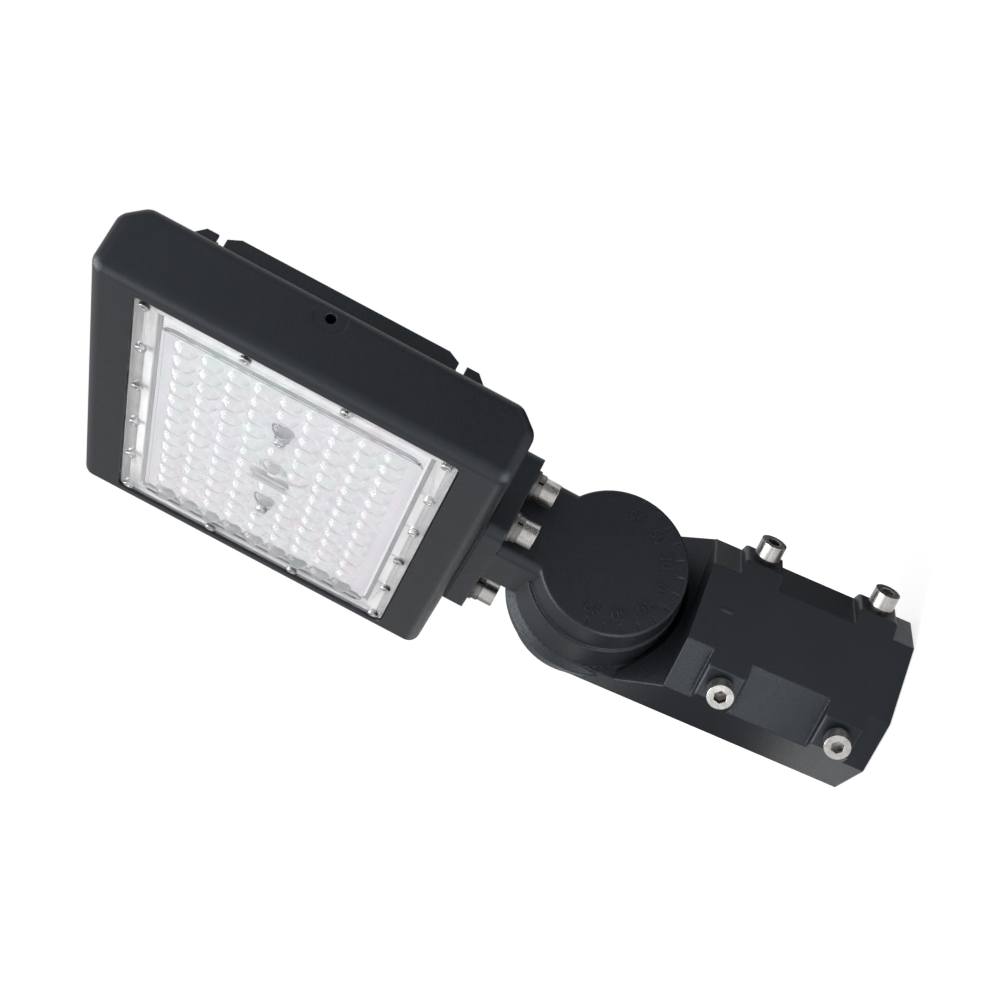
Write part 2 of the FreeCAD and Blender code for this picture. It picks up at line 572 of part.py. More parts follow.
def build_slip_fitter():
    """Tube with the tenon bore, lower knuckle ring, gussets and clamp screw bosses."""
    body = new_body("slip_fitter", in_head=False)
    half = "fitter_width / 2"
    edge = "(fitter_width / 2 - fitter_chamfer)"
    section = Drawing(body, "TubeSection", "XY")
    section.polygon(
        (half, f"-{edge}"), (half, edge), (edge, half), (f"-{edge}", half),
        (f"-{half}", edge), (f"-{half}", f"-{edge}"), (f"-{edge}", f"-{half}"), (edge, f"-{half}"),
    )
    pad(body, "Tube", section, "pivot_height", UP)

    foot = "(pivot_height - gusset_reach)"
    step = Drawing(body, "KnuckleStep", "XZ", "fitter_width")
    step.polygon(
        (f"-{TOOTH_ROOT}", "pivot_height + ring_radius"), (f"-{TOOTH_ROOT}", foot),
        (f"{foot} - tube_length - {TOOTH_ROOT}", "tube_length"), ("fitter_width", "tube_length"),
        ("fitter_width", "pivot_height + ring_radius"),
    )
    pocket(body, "UpperHalfRoom", step, "fitter_width * 2", FRONT)
    room = Drawing(body, "RingRoomOutline", "YZ", f"-{TOOTH_ROOT}", ("0", "pivot_height"))
    room.circle("0", "0", "upper_ring_radius + gusset_gap")
    pocket(body, "RingRoom", room, "fitter_width", RIGHT)

    ring = Drawing(body, "RingSection", "XZ", "0", ("0", "pivot_height"))
    ring.polygon(
        (f"-{TOOTH_ROOT}", "0"), (f"-{TOOTH_ROOT}", "ring_radius - ring_bevel"),
        (f"-{TOOTH_ROOT} - ring_bevel", "ring_radius"), ("-ring_shoulder_place", "ring_shoulder"),
        ("-ring_waist_place", "ring_waist"), (f"-{half}", "ring_back"), (f"-{half}", "0"),
    )
    turn(body, "Ring", ring)

    for side, name in (("-", "Front"), ("", "Back")):
        for level, height in (("clamp_low", "Low"), ("clamp_low + clamp_step", "High")):
            boss = Drawing(body, f"{name}{height}BossSection", "XY", f"{level} - boss_length / 2")
            boss.polygon(
                (half, f"{side}{edge}"), (half, f"{side}({half} - boss_chamfer)"),
                (f"{half} - boss_chamfer", f"{side}{half}"), (edge, f"{side}{half}"),
            )
            last = pad(body, f"{name}{height}Boss", boss, "boss_length", UP)
    face = value("(fitter_width - boss_chamfer) / 2")
    fillet(body, "BossEnds", last, "boss_round", lambda e: at(e, x=face, y=face))

    bore = Drawing(body, "BoreOutline", "XY").circle("0", "0", "tenon_bore / 2")
    pocket(body, "TenonBore", bore, "bore_depth", UP)
    wire = Drawing(body, "WireWayOutline", "XY").circle("-wire_offset", "0", "wire_hole / 2")
    pocket(body, "WireWay", wire, "pivot_height - cavity_inner - wire_hole / 2", UP)
    cavity = Drawing(body, "CavitySection", "XZ", "0", ("0", "pivot_height"))
    cavity.rectangle(f"-{TOOTH_ROOT} - cavity_depth", "cavity_inner", "tooth_height", "cavity_outer")
    turn(body, "Cavity", cavity, cut=True)
    well = Drawing(body, "WellOutline", "YZ", f"-{half}", ("0", "pivot_height"))
    well.circle("0", "0", "pivot_well / 2")
    pocket(body, "PivotWell", well, "pivot_well_depth", RIGHT)
    hole = Drawing(body, "PivotOutline", "YZ", f"-{half}", ("0", "pivot_height"))
    hole.circle("0", "0", "pivot_shank / 2 + pivot_running_gap")
    pocket(body, "PivotHole", hole, "fitter_width", RIGHT)

    for name, angle, outward in (("Front", 45, RIGHT + FRONT), ("Back", 135, RIGHT + BACK)):
        holes = Drawing(body, f"{name}ClampOutline", "XZ", turn=Rotation(Vector(0, 1, 0), angle))
        for level in ("clamp_low", "clamp_low + clamp_step"):
            holes.circle("0", level, "bolt_shank / 2 + thread_gap")
        pocket(body, f"{name}ClampHoles", holes, "fitter_width", outward)

    mark = Drawing(body, "IndexOutline", "YZ", half, ("0", "pivot_height - index_drop"))
    mark.rectangle("-index_width / 2", "-index_length / 2", "index_width / 2", "index_length / 2")
    pad(body, "IndexMark", mark, "index_rise", RIGHT)
    seam_teeth(body, -1, "pivot_height")


def build_clamp_screw(name, outward, level):
    """A socket-head screw that runs in through a boss of the slip fitter."""
    body = new_body(name, in_head=False)
    boss_face = "((fitter_width - boss_chamfer) / sqrt(2))"
    seat = f"({boss_face} + clamp_travel + washer_gap)"
    tip = "(tenon_bore / 2 + washer_gap)"
    shank = Drawing(body, "ShankOutline", "XY", tip).circle("0", "0", "bolt_shank / 2")
    pad(body, "Shank", shank, f"{seat} - {tip}", UP)
    head = Drawing(body, "HeadOutline", "XY", seat).circle("0", "0", "bolt_head / 2")
    pad(body, "Head", head, "bolt_head_height", UP)
    socket = Drawing(body, "SocketOutline", "XY", f"{seat} + bolt_head_height")
    socket.hexagon("0", "0", "bolt_socket")
    pocket(body, "Socket", socket, "bolt_socket_depth", DOWN)
    body.Placement = Placement(Vector(), Rotation(UP, outward))
    body.setExpression("Placement.Base.z", formula(level))


def build_knuckle_upper():
    """Scale disc, upper ring, neck and flange in one casting."""
    body = new_body("knuckle_upper")
    neck = Drawing(body, "NeckOutline", "XY")
    neck.rectangle(TOOTH_ROOT, "-neck_width / 2", DISC_TOP, "neck_width / 2")
    arm = pad(body, "Neck", neck, "flange_distance", UP)
    fillet(body, "NeckEdges", arm, "neck_round", lambda e: runs_along(e, UP) and at(e, x=value(DISC_TOP)))
    section = Drawing(body, "DiscSection", "XZ")
    ledge = f"({DISC_TOP} - rim_height)"
    section.polygon(
        (TOOTH_ROOT, "0"), (TOOTH_ROOT, "upper_ring_radius"), (ledge, "ledge_radius"),
        (ledge, "rim_foot_radius"), (f"{DISC_TOP} - disc_bevel", "disc_radius"),
        (DISC_TOP, "disc_radius - disc_bevel"), (DISC_TOP, "0"),
    )
    turn(body, "Disc", section)
    flange = Drawing(body, "FlangeOutline", "XY", "flange_distance")
    flange.rectangle("-flange_width / 2", "-flange_depth / 2", "flange_width / 2", "flange_depth / 2")
    plate = pad(body, "Flange", flange, "flange_thickness", UP)
    corners = fillet(
        body, "FlangeCorners", plate, "flange_corner",
        lambda e: runs_along(e, UP) and at(e, x=value("flange_width / 2"), y=value("flange_depth / 2")),
    )
    fillet(
        body, "NeckFillets", corners, "neck_fillet",
        lambda e: runs_along(e, BACK) and at(e, x=value(TOOTH_ROOT), z=value("flange_distance")),
    )
    cavity = Drawing(body, "CavitySection", "XZ")
    cavity.rectangle("-tooth_height", "cavity_inner", f"{TOOTH_ROOT} + cavity_depth", "cavity_outer")
    turn(body, "Cavity", cavity, cut=True)
    wire = Drawing(body, "WireWayOutline", "XY", "cavity_inner + wire_hole / 2")
    wire.circle("wire_offset", "0", "wire_hole / 2")
    pocket(body, "WireWay", wire, "flange_distance + flange_thickness", UP)
    thread = Drawing(body, "PivotOutline", "YZ").circle("0", "0", "pivot_shank / 2 + thread_gap")
    pocket(body, "PivotThread", thread, "pivot_engagement + screw_tip_room", RIGHT)
    bolts = Drawing(body, "BoltOutline", "XY", "flange_distance")
    circles(bolts, flange_bolt_places(), "bolt_shank / 2 + bolt_hole_gap")
    pocket(body, "BoltHoles", bolts, "flange_thickness", UP)
    tick = Drawing(body, "TickOutline", "YZ", DISC_TOP)
    outer = "(disc_radius - tick_margin)"
    tick.rectangle(f"-{outer}", "-tick_width / 2", f"-{outer} + tick_length", "tick_width / 2")
    first = pocket(body, "Tick", tick, "tick_depth", LEFT)
    ring_of(body, "Ticks", first, tick, "N_Axis", "tick_count", angle=180)
    seam_teeth(body, 1, "0")


def build_pivot():
    """The bolt that clamps the knuckle halves, and its washers, in the fitter's well."""
    flat_back = f"({WELL_FLOOR} + pivot_seat_gap + pivot_flat_thickness)"
    seat = f"({flat_back} + pivot_spring_thickness)"
    bolt = new_body("pivot_bolt")
    shank = Drawing(bolt, "ShankOutline", "YZ", f"-{seat}").circle("0", "0", "pivot_shank / 2")
    pad(bolt, "Shank", shank, f"{seat} + pivot_engagement", RIGHT)
    head = Drawing(bolt, "HeadOutline", "YZ", f"-{seat}").circle("0", "0", "pivot_head / 2")
    pad(bolt, "Head", head, "pivot_head_height", LEFT)
    socket = Drawing(bolt, "SocketOutline", "YZ", f"-{seat} - pivot_head_height")
    socket.hexagon("0", "0", "pivot_socket")
    pocket(bolt, "Socket", socket, "pivot_socket_depth", RIGHT)

    flat = new_body("pivot_flat_washer")
    outline = Drawing(flat, "WasherOutline", "YZ", f"-{flat_back}")
    outline.circle("0", "0", "pivot_washer_outer / 2").circle("0", "0", "pivot_shank / 2 + washer_gap")
    pad(flat, "Washer", outline, "pivot_flat_thickness", RIGHT)

    spring = new_body("pivot_spring_washer")
    outline = Drawing(spring, "WasherOutline", "YZ", f"-{seat}")
    outline.circle("0", "0", "pivot_spring_outer / 2").circle("0", "0", "pivot_shank / 2 + washer_gap")
    pad(spring, "Washer", outline, "pivot_spring_thickness", RIGHT)
    slit = Drawing(spring, "SlitOutline", "YZ", f"-{seat}")
    slit.rectangle("-spring_slit / 2", "0", "spring_slit / 2", "pivot_spring_outer")
    pocket(spring, "Slit", slit, "pivot_spring_thickness", RIGHT)


def build_flange_hardware():
    """Bolts, washers and seal that hold the flange to the housing."""
    bolts = new_body("flange_bolts")
    shank = circles(Drawing(bolts, "ShankOutline", "XY", BOLT_SEAT), flange_bolt_places(), "bolt_shank / 2")
    pad(bolts, "Shanks", shank, f"{HOUSING_START} - {BOLT_SEAT} + bolt_engagement", UP)
    head = circles(Drawing(bolts, "HeadOutline", "XY", BOLT_SEAT), flange_bolt_places(), "bolt_head / 2")
    pad(bolts, "Heads", head, "bolt_head_height", DOWN)
    socket = Drawing(bolts, "SocketOutline", "XY", f"{BOLT_SEAT} - bolt_head_height")
    for x, y in flange_bolt_places():
        socket.hexagon(x, y, "bolt_socket")
    pocket(bolts, "Sockets", socket, "bolt_socket_depth", UP)

    spring = new_body("flange_spring_washers")
    outline = Drawing(spring, "WasherOutline", "XY", BOLT_SEAT)
    circles(outline, flange_bolt_places(), "spring_washer_outer / 2")
    circles(outline, flange_bolt_places(), "bolt_shank / 2 + washer_gap")
    pad(spring, "Washers", outline, "spring_washer_thickness", UP)
    slit = Drawing(spring, "SlitOutline", "XY", BOLT_SEAT)
    for x, y in flange_bolt_places():
        slit.rectangle(
            x, f"{y} - spring_slit / 2", f"{x} + spring_washer_outer / 2", f"{y} + spring_slit / 2"
        )
    pocket(spring, "Slits", slit, "spring_washer_thickness", UP)

    flat = new_body("flange_flat_washers")
    outline = Drawing(flat, "WasherOutline", "XY", f"{BOLT_SEAT} + spring_washer_thickness")
    circles(outline, flange_bolt_places(), "flat_washer_outer / 2")
    circles(outline, flange_bolt_places(), "bolt_shank / 2 + washer_gap")
    pad(flat, "Washers", outline, "flat_washer_thickness", UP)

    gasket = new_body("flange_gasket")
    level = "flange_distance + flange_thickness"
    outline = Drawing(gasket, "GasketOutline", "XY", level)
    outline.rectangle("-flange_width / 2", "-flange_depth / 2", "flange_width / 2", "flange_depth / 2")
    circles(outline, flange_bolt_places(), "bolt_shank / 2 + bolt_hole_gap")
    outline.circle("wire_offset", "0", "wire_hole / 2")
    sheet_pad = pad(gasket, "Gasket", outline, "flange_gasket_thickness", UP)
    fillet(
        gasket, "GasketCorners", sheet_pad, "flange_corner",
        lambda e: runs_along(e, UP) and at(e, x=value("flange_width / 2"), y=value("flange_depth / 2")),
    )


def build_fins(body):
    """Two banks of long fins on the back of the plate, with sloped ends and a cross notch near each end."""
    half_notch = "notch_width / 2"
    outline = [
        ("fin_half", f"-{PLATE_BACK} - plate / 2"), ("fin_half", "stub_foot"), ("stub_half", "notch_floor"),
        (f"notch_place + {half_notch} + fin_round", "stub_tip"), (f"notch_place + {half_notch}", "stub_tip"),
        (f"notch_place + {half_notch}", "notch_floor"), (f"notch_place - {half_notch}", "notch_floor"),
        (f"notch_place - {half_notch}", "fin_tip - fin_round / 2"),
        (f"notch_place - {half_notch} - fin_round", "fin_tip"),
    ]
    points = [(y, f"{MIDDLE} + {z}") for z, y in outline]
    points += [(y, f"{MIDDLE} - ({z})") for z, y in reversed(outline)]
    for level, name, reverse in (
        ("fin_first - fin_thickness / 2", "Right", False),
        ("-fin_first - fin_thickness / 2", "Left", True),
    ):
        profile = Drawing(body, f"{name}FinProfile", "YZ", level).polygon(*points)
        first = pad(body, f"{name}Fin", profile, "fin_thickness", RIGHT)
        line_up(body, f"{name}Fins", first, profile, "N_Axis", FIN_STEP, "fin_count", reverse)


def build_housing():
    """Die-cast head: bezel, lens seat, LED plate, fins and driver box."""
    body = new_body("housing")
    half = "housing_width / 2"
    shell = Drawing(body, "ShellProfile", "YZ", f"-{half}")
    shell.polygon(
        ("-front_depth", HOUSING_START), ("back_depth - back_rise", HOUSING_START),
        ("back_depth", f"{HOUSING_START} + back_run"), ("back_depth", f"{HOUSING_END} - back_run"),
        ("back_depth - back_rise", HOUSING_END), ("-front_depth", HOUSING_END),
    )
    block = pad(body, "Shell", shell, "housing_width", RIGHT)
    front = fillet(
        body, "BezelEdge", block, "front_radius",
        lambda e: runs_along(e, RIGHT) and at(e, y=value("front_depth")),
    )
    back = fillet(
        body, "EndSlopes", front, "back_radius",
        lambda e: runs_along(e, RIGHT)
        and (at(e, y=value("back_depth")) or at(e, y=value("back_depth - back_rise"))),
    )
    fillet(body, "SideEdges", back, "side_radius", lambda e: at(e, x=value(half)))

    tray = Drawing(body, "TrayOutline", "XZ", "back_depth")
    tray.rectangle(
        f"-{half} + side_wall", f"{HOUSING_START} + end_wall",
        f"{half} - side_wall", f"{HOUSING_END} - end_wall",
    )
    pocket(body, "Tray", tray, f"back_depth + {PLATE_BACK}", FRONT)
    box = Drawing(body, "BoxOutline", "XZ", f"-{PLATE_BACK}")
    box.rectangle("-box_width / 2", HOUSING_START, "box_width / 2", BOX_END)
    walls = pad(body, "DriverBox", box, f"{PLATE_BACK} + box_depth", BACK)
    fillet(
        body, "BoxCorners", walls, "box_corner",
        lambda e: runs_along(e, BACK) and at(e, x=value("box_width / 2"), z=value(BOX_END)),
    )
    build_fins(body)
    room = Drawing(body, "BoxRoomOutline", "XZ", "box_depth")
    room.rectangle(
        "-box_width / 2 + box_wall", BOX_INSIDE_START, "box_width / 2 - box_wall", BOX_INSIDE_END
    )
    pocket(body, "BoxRoom", room, f"box_depth + {PLATE_BACK}", FRONT)
    bosses = Drawing(body, "BossOutline", "XY", BOX_INSIDE_START)
    circles(bosses, flange_bolt_places(), "bolt_boss / 2")
    pad(body, "BoltBosses", bosses, "bolt_boss_length", UP)

    seat = Drawing(body, "LensSeatOutline", "XZ", "-front_depth")
    centred(seat, "lens_width + lens_gap * 2", "lens_length + lens_gap * 2")
    opening = pocket(body, "LensSeat", seat, f"front_depth - {LENS_SEAT}", BACK)
    fillet(
        body, "LensSeatCorners", opening, "lens_corner + lens_gap",
        lambda e: runs_along(e, BACK) and at(e, x=value("lens_width / 2 + lens_gap"))
        and not at(e, z=value(MIDDLE)),
    )
    led = Drawing(body, "LedPocketOutline", "XZ", f"-{LENS_SEAT}")
    centred(led, "board_width + pocket_margin * 2", "board_length + pocket_margin * 2")
    pocket(body, "LedPocket", led, "led_pocket_depth", BACK)

    for side, name in ((1, "Right"), (-1, "Left")):
        sign = "" if side > 0 else "-"
        inward = LEFT if side > 0 else RIGHT
        boss = Drawing(body, f"{name}BracketBoss", "YZ", f"{sign}({half} - side_wall)")
        boss.circle("0", MIDDLE, "side_boss / 2")
        pad(body, f"{name}Boss", boss, "side_boss_length", inward)
        spot = Drawing(body, f"{name}SpotOutline", "YZ", f"{sign}{half}")
        spot.circle("0", MIDDLE, "spot_face / 2")
        pocket(body, f"{name}SpotFace", spot, "spot_face_depth", inward)
        hole = Drawing(body, f"{name}BracketOutline", "YZ", f"{sign}{half}")
        hole.circle("0", MIDDLE, "side_hole / 2")
        pocket(body, f"{name}BracketHole", hole, "side_hole_depth", inward)

    bolts = Drawing(body, "BoltOutline", "XY", HOUSING_START)
    circles(bolts, flange_bolt_places(), "bolt_shank / 2 + thread_gap")
    pocket(body, "BoltThreads", bolts, "bolt_engagement + screw_tip_room", UP)
    wire = Drawing(body, "WireWayOutline", "XY", HOUSING_START).circle("wire_offset", "0", "wire_hole / 2")
    pocket(body, "WireWay", wire, "box_end", UP)
    screws = Drawing(body, "LensScrewOutline", "XZ", f"-{LENS_SEAT}")
    circles(screws, lens_screw_places(), "screw_shank / 2 + thread_gap")
    pocket(body, "LensScrewThreads", screws, "screw_bite + screw_tip_room", BACK)
    centre = Drawing(body, "CentreScrewOutline", "XZ", f"-{POCKET_FLOOR}")
    circles(centre, centre_screw_places(), "screw_shank / 2 + thread_gap")
    pocket(body, "CentreScrewThreads", centre, "centre_screw_bite + screw_tip_room", BACK)
    leads = Drawing(body, "LeadWayOutline", "XZ", f"-{POCKET_FLOOR}").circle("0", MIDDLE, "lead_hole / 2")
    pocket(body, "LeadWay", leads, "plate", BACK)
    driver = Drawing(body, "DriverScrewOutline", "XZ", f"-{PLATE_BACK}")
    circles(driver, driver_screw_places(), "m4_shank / 2 + thread_gap")
    driver.circle("ground_offset", f"{BOX_INSIDE_START} + ground_room", "m4_shank / 2 + thread_gap")
    pocket(body, "PlateThreads", driver, "m4_bite + screw_tip_room", FRONT)
    cover = Drawing(body, "CoverScrewOutline", "XZ", "box_depth")
    circles(cover, cover_screw_places(), "screw_shank / 2 + thread_gap")
    pocket(body, "CoverScrewThreads", cover, "cover_screw_bite + screw_tip_room", FRONT)


def build_lens_plate():
    """Clear plate with the field of domes, its rib, the wire cover and the screw holes."""
    body = new_body("lens_plate")
    outline = centred(Drawing(body, "PlateOutline", "XZ", f"-{LENS_BACK}"), "lens_width", "lens_length")
    plate = pad(body, "Plate", outline, "lens_thickness", FRONT)
    fillet(
        body, "PlateCorners", plate, "lens_corner",
        lambda e: runs_along(e, BACK) and at(e, x=value("lens_width / 2")),
    )
    notches = Drawing(body, "EdgeNotchOutline", "XZ", f"-{LENS_FRONT}")
    for corners in edge_notch_corners():
        notches.rectangle(*corners)
    pocket(body, "EdgeNotches", notches, "lens_thickness", BACK)
    field = centred(Drawing(body, "FieldOutline", "XZ", f"-{LENS_FRONT}"), "field_width", "field_length")
    pad(body, "Field", field, "field_rise", FRONT)
    rib = centred(Drawing(body, "RibOutline", "XZ", f"-{FIELD_FRONT}"), "field_width", "field_length")
    centred(rib, "field_width - rib_width * 2", "field_length - rib_width * 2")
    border = pad(body, "Rib", rib, "rib_rise", FRONT)
    fillet(
        body, "FieldCorners", border, "field_corner",
        lambda e: runs_along(e, BACK) and at(e, x=value("field_width / 2")),
    )
    first_row = "dome_step_across * (dome_rows - 1) / 2"
    first_column = f"({MIDDLE} - dome_step_along * (dome_columns - 1) / 2)"
    section = Drawing(body, "DomeSection", "XY", first_column, (f"-{first_row}", "0"), Rotation(UP, -90))
    section.dome(f"{FIELD_FRONT} - dome_foot", f"{FIELD_FRONT} + dome_height", "dome_radius")
    dome = turn(body, "Dome", section)
    spread(
        body, "Domes", dome, outline,
        ("dome_step_across", "dome_rows"), ("dome_step_along", "dome_columns"),
    )
    bare = Drawing(body, "BareOutline", "XZ", f"-{FIELD_FRONT} - dome_height")
    circles(bare, centre_screw_places(), "dome_radius + screw_head_gap / 5")
    bare.circle("0", MIDDLE, "dome_radius + screw_head_gap / 5")
    pocket(body, "BarePlaces", bare, "dome_height", BACK)
    bump = centred(Drawing(body, "BumpOutline", "XZ", f"-{FIELD_FRONT}"), "bump_width", "bump_length")
    pad(body, "WireCover", bump, "bump_rise", FRONT)
    pillars = Drawing(body, "PillarOutline", "XZ", f"-{LENS_BACK}")
    circles(pillars, centre_screw_places(), "screw_pillar / 2")
    pad(body, "Pillars", pillars, f"{LENS_BACK} - {BOARD_FRONT}", BACK)
    for places, seat, name in (
        (lens_screw_places, SCREW_SEAT, "Edge"), (centre_screw_places, CENTRE_SEAT, "Centre"),
    ):
        sunk = Drawing(body, f"{name}RecessOutline", "XZ", f"-{FIELD_FRONT}")
        circles(sunk, places(), "screw_head / 2 + screw_head_gap")
        pocket(body, f"{name}Recesses", sunk, f"{FIELD_FRONT} - {seat}", BACK)
        holes = Drawing(body, f"{name}HoleOutline", "XZ", f"-{seat}")
        circles(holes, places(), "screw_shank / 2 + screw_hole_gap")
        pocket(body, f"{name}Holes", holes, f"{seat} - {BOARD_FRONT}", BACK)
    plug = Drawing(body, "PlugRoomOutline", "XZ", f"-{LENS_BACK}")
    centred(plug, "connector_width + connector_gap * 2", "connector_length + connector_gap * 2")
    pocket(body, "PlugRoom", plug, f"{BOARD_FRONT} + connector_height + connector_gap - {LENS_BACK}", FRONT)


def build_light_board():
    """Board, chips, connector, pad and the seal under the lens."""
    board = new_body("led_board")
    outline = centred(Drawing(board, "BoardOutline", "XZ", f"-{BOARD_BACK}"), "board_width", "board_length")
    circles(outline, centre_screw_places(), "screw_shank / 2 + screw_hole_gap")
    outline.circle("0", MIDDLE, "lead_hole / 2")
    pad(board, "Board", outline, "board_thickness", FRONT)

    chips = new_body("led_chips")
    first_row = "(dome_step_across * (dome_rows - 1) / 2)"
    first_column = f"({MIDDLE} - dome_step_along * (dome_columns - 1) / 2)"
    chip = Drawing(chips, "ChipOutline", "XZ", f"-{BOARD_FRONT}")
    chip.rectangle(
        f"-{first_row} - chip_size / 2", f"{first_column} - chip_size / 2",
        f"-{first_row} + chip_size / 2", f"{first_column} + chip_size / 2",
    )
    first = pad(chips, "Chip", chip, "chip_height", FRONT)
    spread(
        chips, "Chips", first, chip,
        ("dome_step_across", "dome_rows"), ("dome_step_along", "dome_columns"),
    )
    bare = Drawing(chips, "BareOutline", "XZ", f"-{BOARD_FRONT}")
    circles(bare, centre_screw_places(), "chip_size")
    bare.circle("0", MIDDLE, "chip_size")
    pocket(chips, "BarePlaces", bare, "chip_height", FRONT)

    plug = new_body("board_connector")
    outline = Drawing(plug, "PlugOutline", "XZ", f"-{BOARD_FRONT}")
    centred(outline, "connector_width", "connector_length")
    pad(plug, "Plug", outline, "connector_height", FRONT)

    sheet_body = new_body("thermal_pad")
    outline = Drawing(sheet_body, "PadOutline", "XZ", f"-{POCKET_FLOOR}")
    centred(outline, "board_width - pad_inset * 2", "board_length - pad_inset * 2")
    circles(outline, centre_screw_places(), "screw_shank / 2 + screw_hole_gap")
    outline.circle("0", MIDDLE, "lead_hole / 2")
    pad(sheet_body, "Pad", outline, "pad_thickness", FRONT)

    gasket = new_body("lens_gasket")
    outline = centred(Drawing(gasket, "GasketOutline", "XZ", f"-{LENS_SEAT}"), "lens_width", "lens_length")
    centred(outline, "lens_width - lens_gasket_width * 2", "lens_length - lens_gasket_width * 2")
    circles(outline, lens_screw_places(), "screw_shank / 2 + screw_hole_gap")
    ring = pad(gasket, "Gasket", outline, "lens_gasket_thickness", FRONT)
    fillet(
        gasket, "GasketCorners", ring, "lens_corner",
        lambda e: runs_along(e, BACK) and at(e, x=value("lens_width / 2")),
    )


def build_screw_group(name, places, seat, bite, toward, shank="screw_shank", head="screw_head",
                      head_height="screw_head_height"):
    """Small screws in one node, with the undersides of the heads at seat, pointing toward a direction."""
    body = new_body(name)
    stems = circles(Drawing(body, "ShankOutline", "XZ", seat), places(), f"{shank} / 2")
    pad(body, "Shanks", stems, bite, toward)
    caps = circles(Drawing(body, "HeadOutline", "XZ", seat), places(), f"{head} / 2")
    pad(body, "Heads", caps, head_height, toward * -1)
    sign = "-" if toward == BACK else "+"
    drive = Drawing(body, "DriveOutline", "XZ", f"{seat} {sign} {head_height}")
    circles(drive, places(), "screw_socket / 2")
    pocket(body, "Drives", drive, "screw_socket_depth", toward)


def ground_screw_places():
    """The earth point beside the flange wall."""
    yield "ground_offset", f"{BOX_INSIDE_START} + ground_room"


def build_screws():
    """The small screws of the lens, cover and driver."""
    build_screw_group(
        "lens_screws", lens_screw_places, f"-{SCREW_SEAT}", f"{SCREW_SEAT} - {LENS_SEAT} + screw_bite", BACK
    )
    build_screw_group(
        "lens_centre_screws", centre_screw_places, f"-{CENTRE_SEAT}",
        f"{CENTRE_SEAT} - {POCKET_FLOOR} + centre_screw_bite", BACK,
    )
    build_screw_group(
        "cover_screws", cover_screw_places, COVER_BACK, f"{COVER_BACK} - box_depth + cover_screw_bite", FRONT
    )
    m4 = {"shank": "m4_shank", "head": "m4_head", "head_height": "m4_head_height"}
    build_screw_group(
        "driver_screws", driver_screw_places, f"-{PLATE_BACK} + ear_thickness",
        "ear_thickness + m4_bite", FRONT, **m4,
    )
    build_screw_group("ground_screw", ground_screw_places, f"-{PLATE_BACK}", "m4_bite", FRONT, **m4)


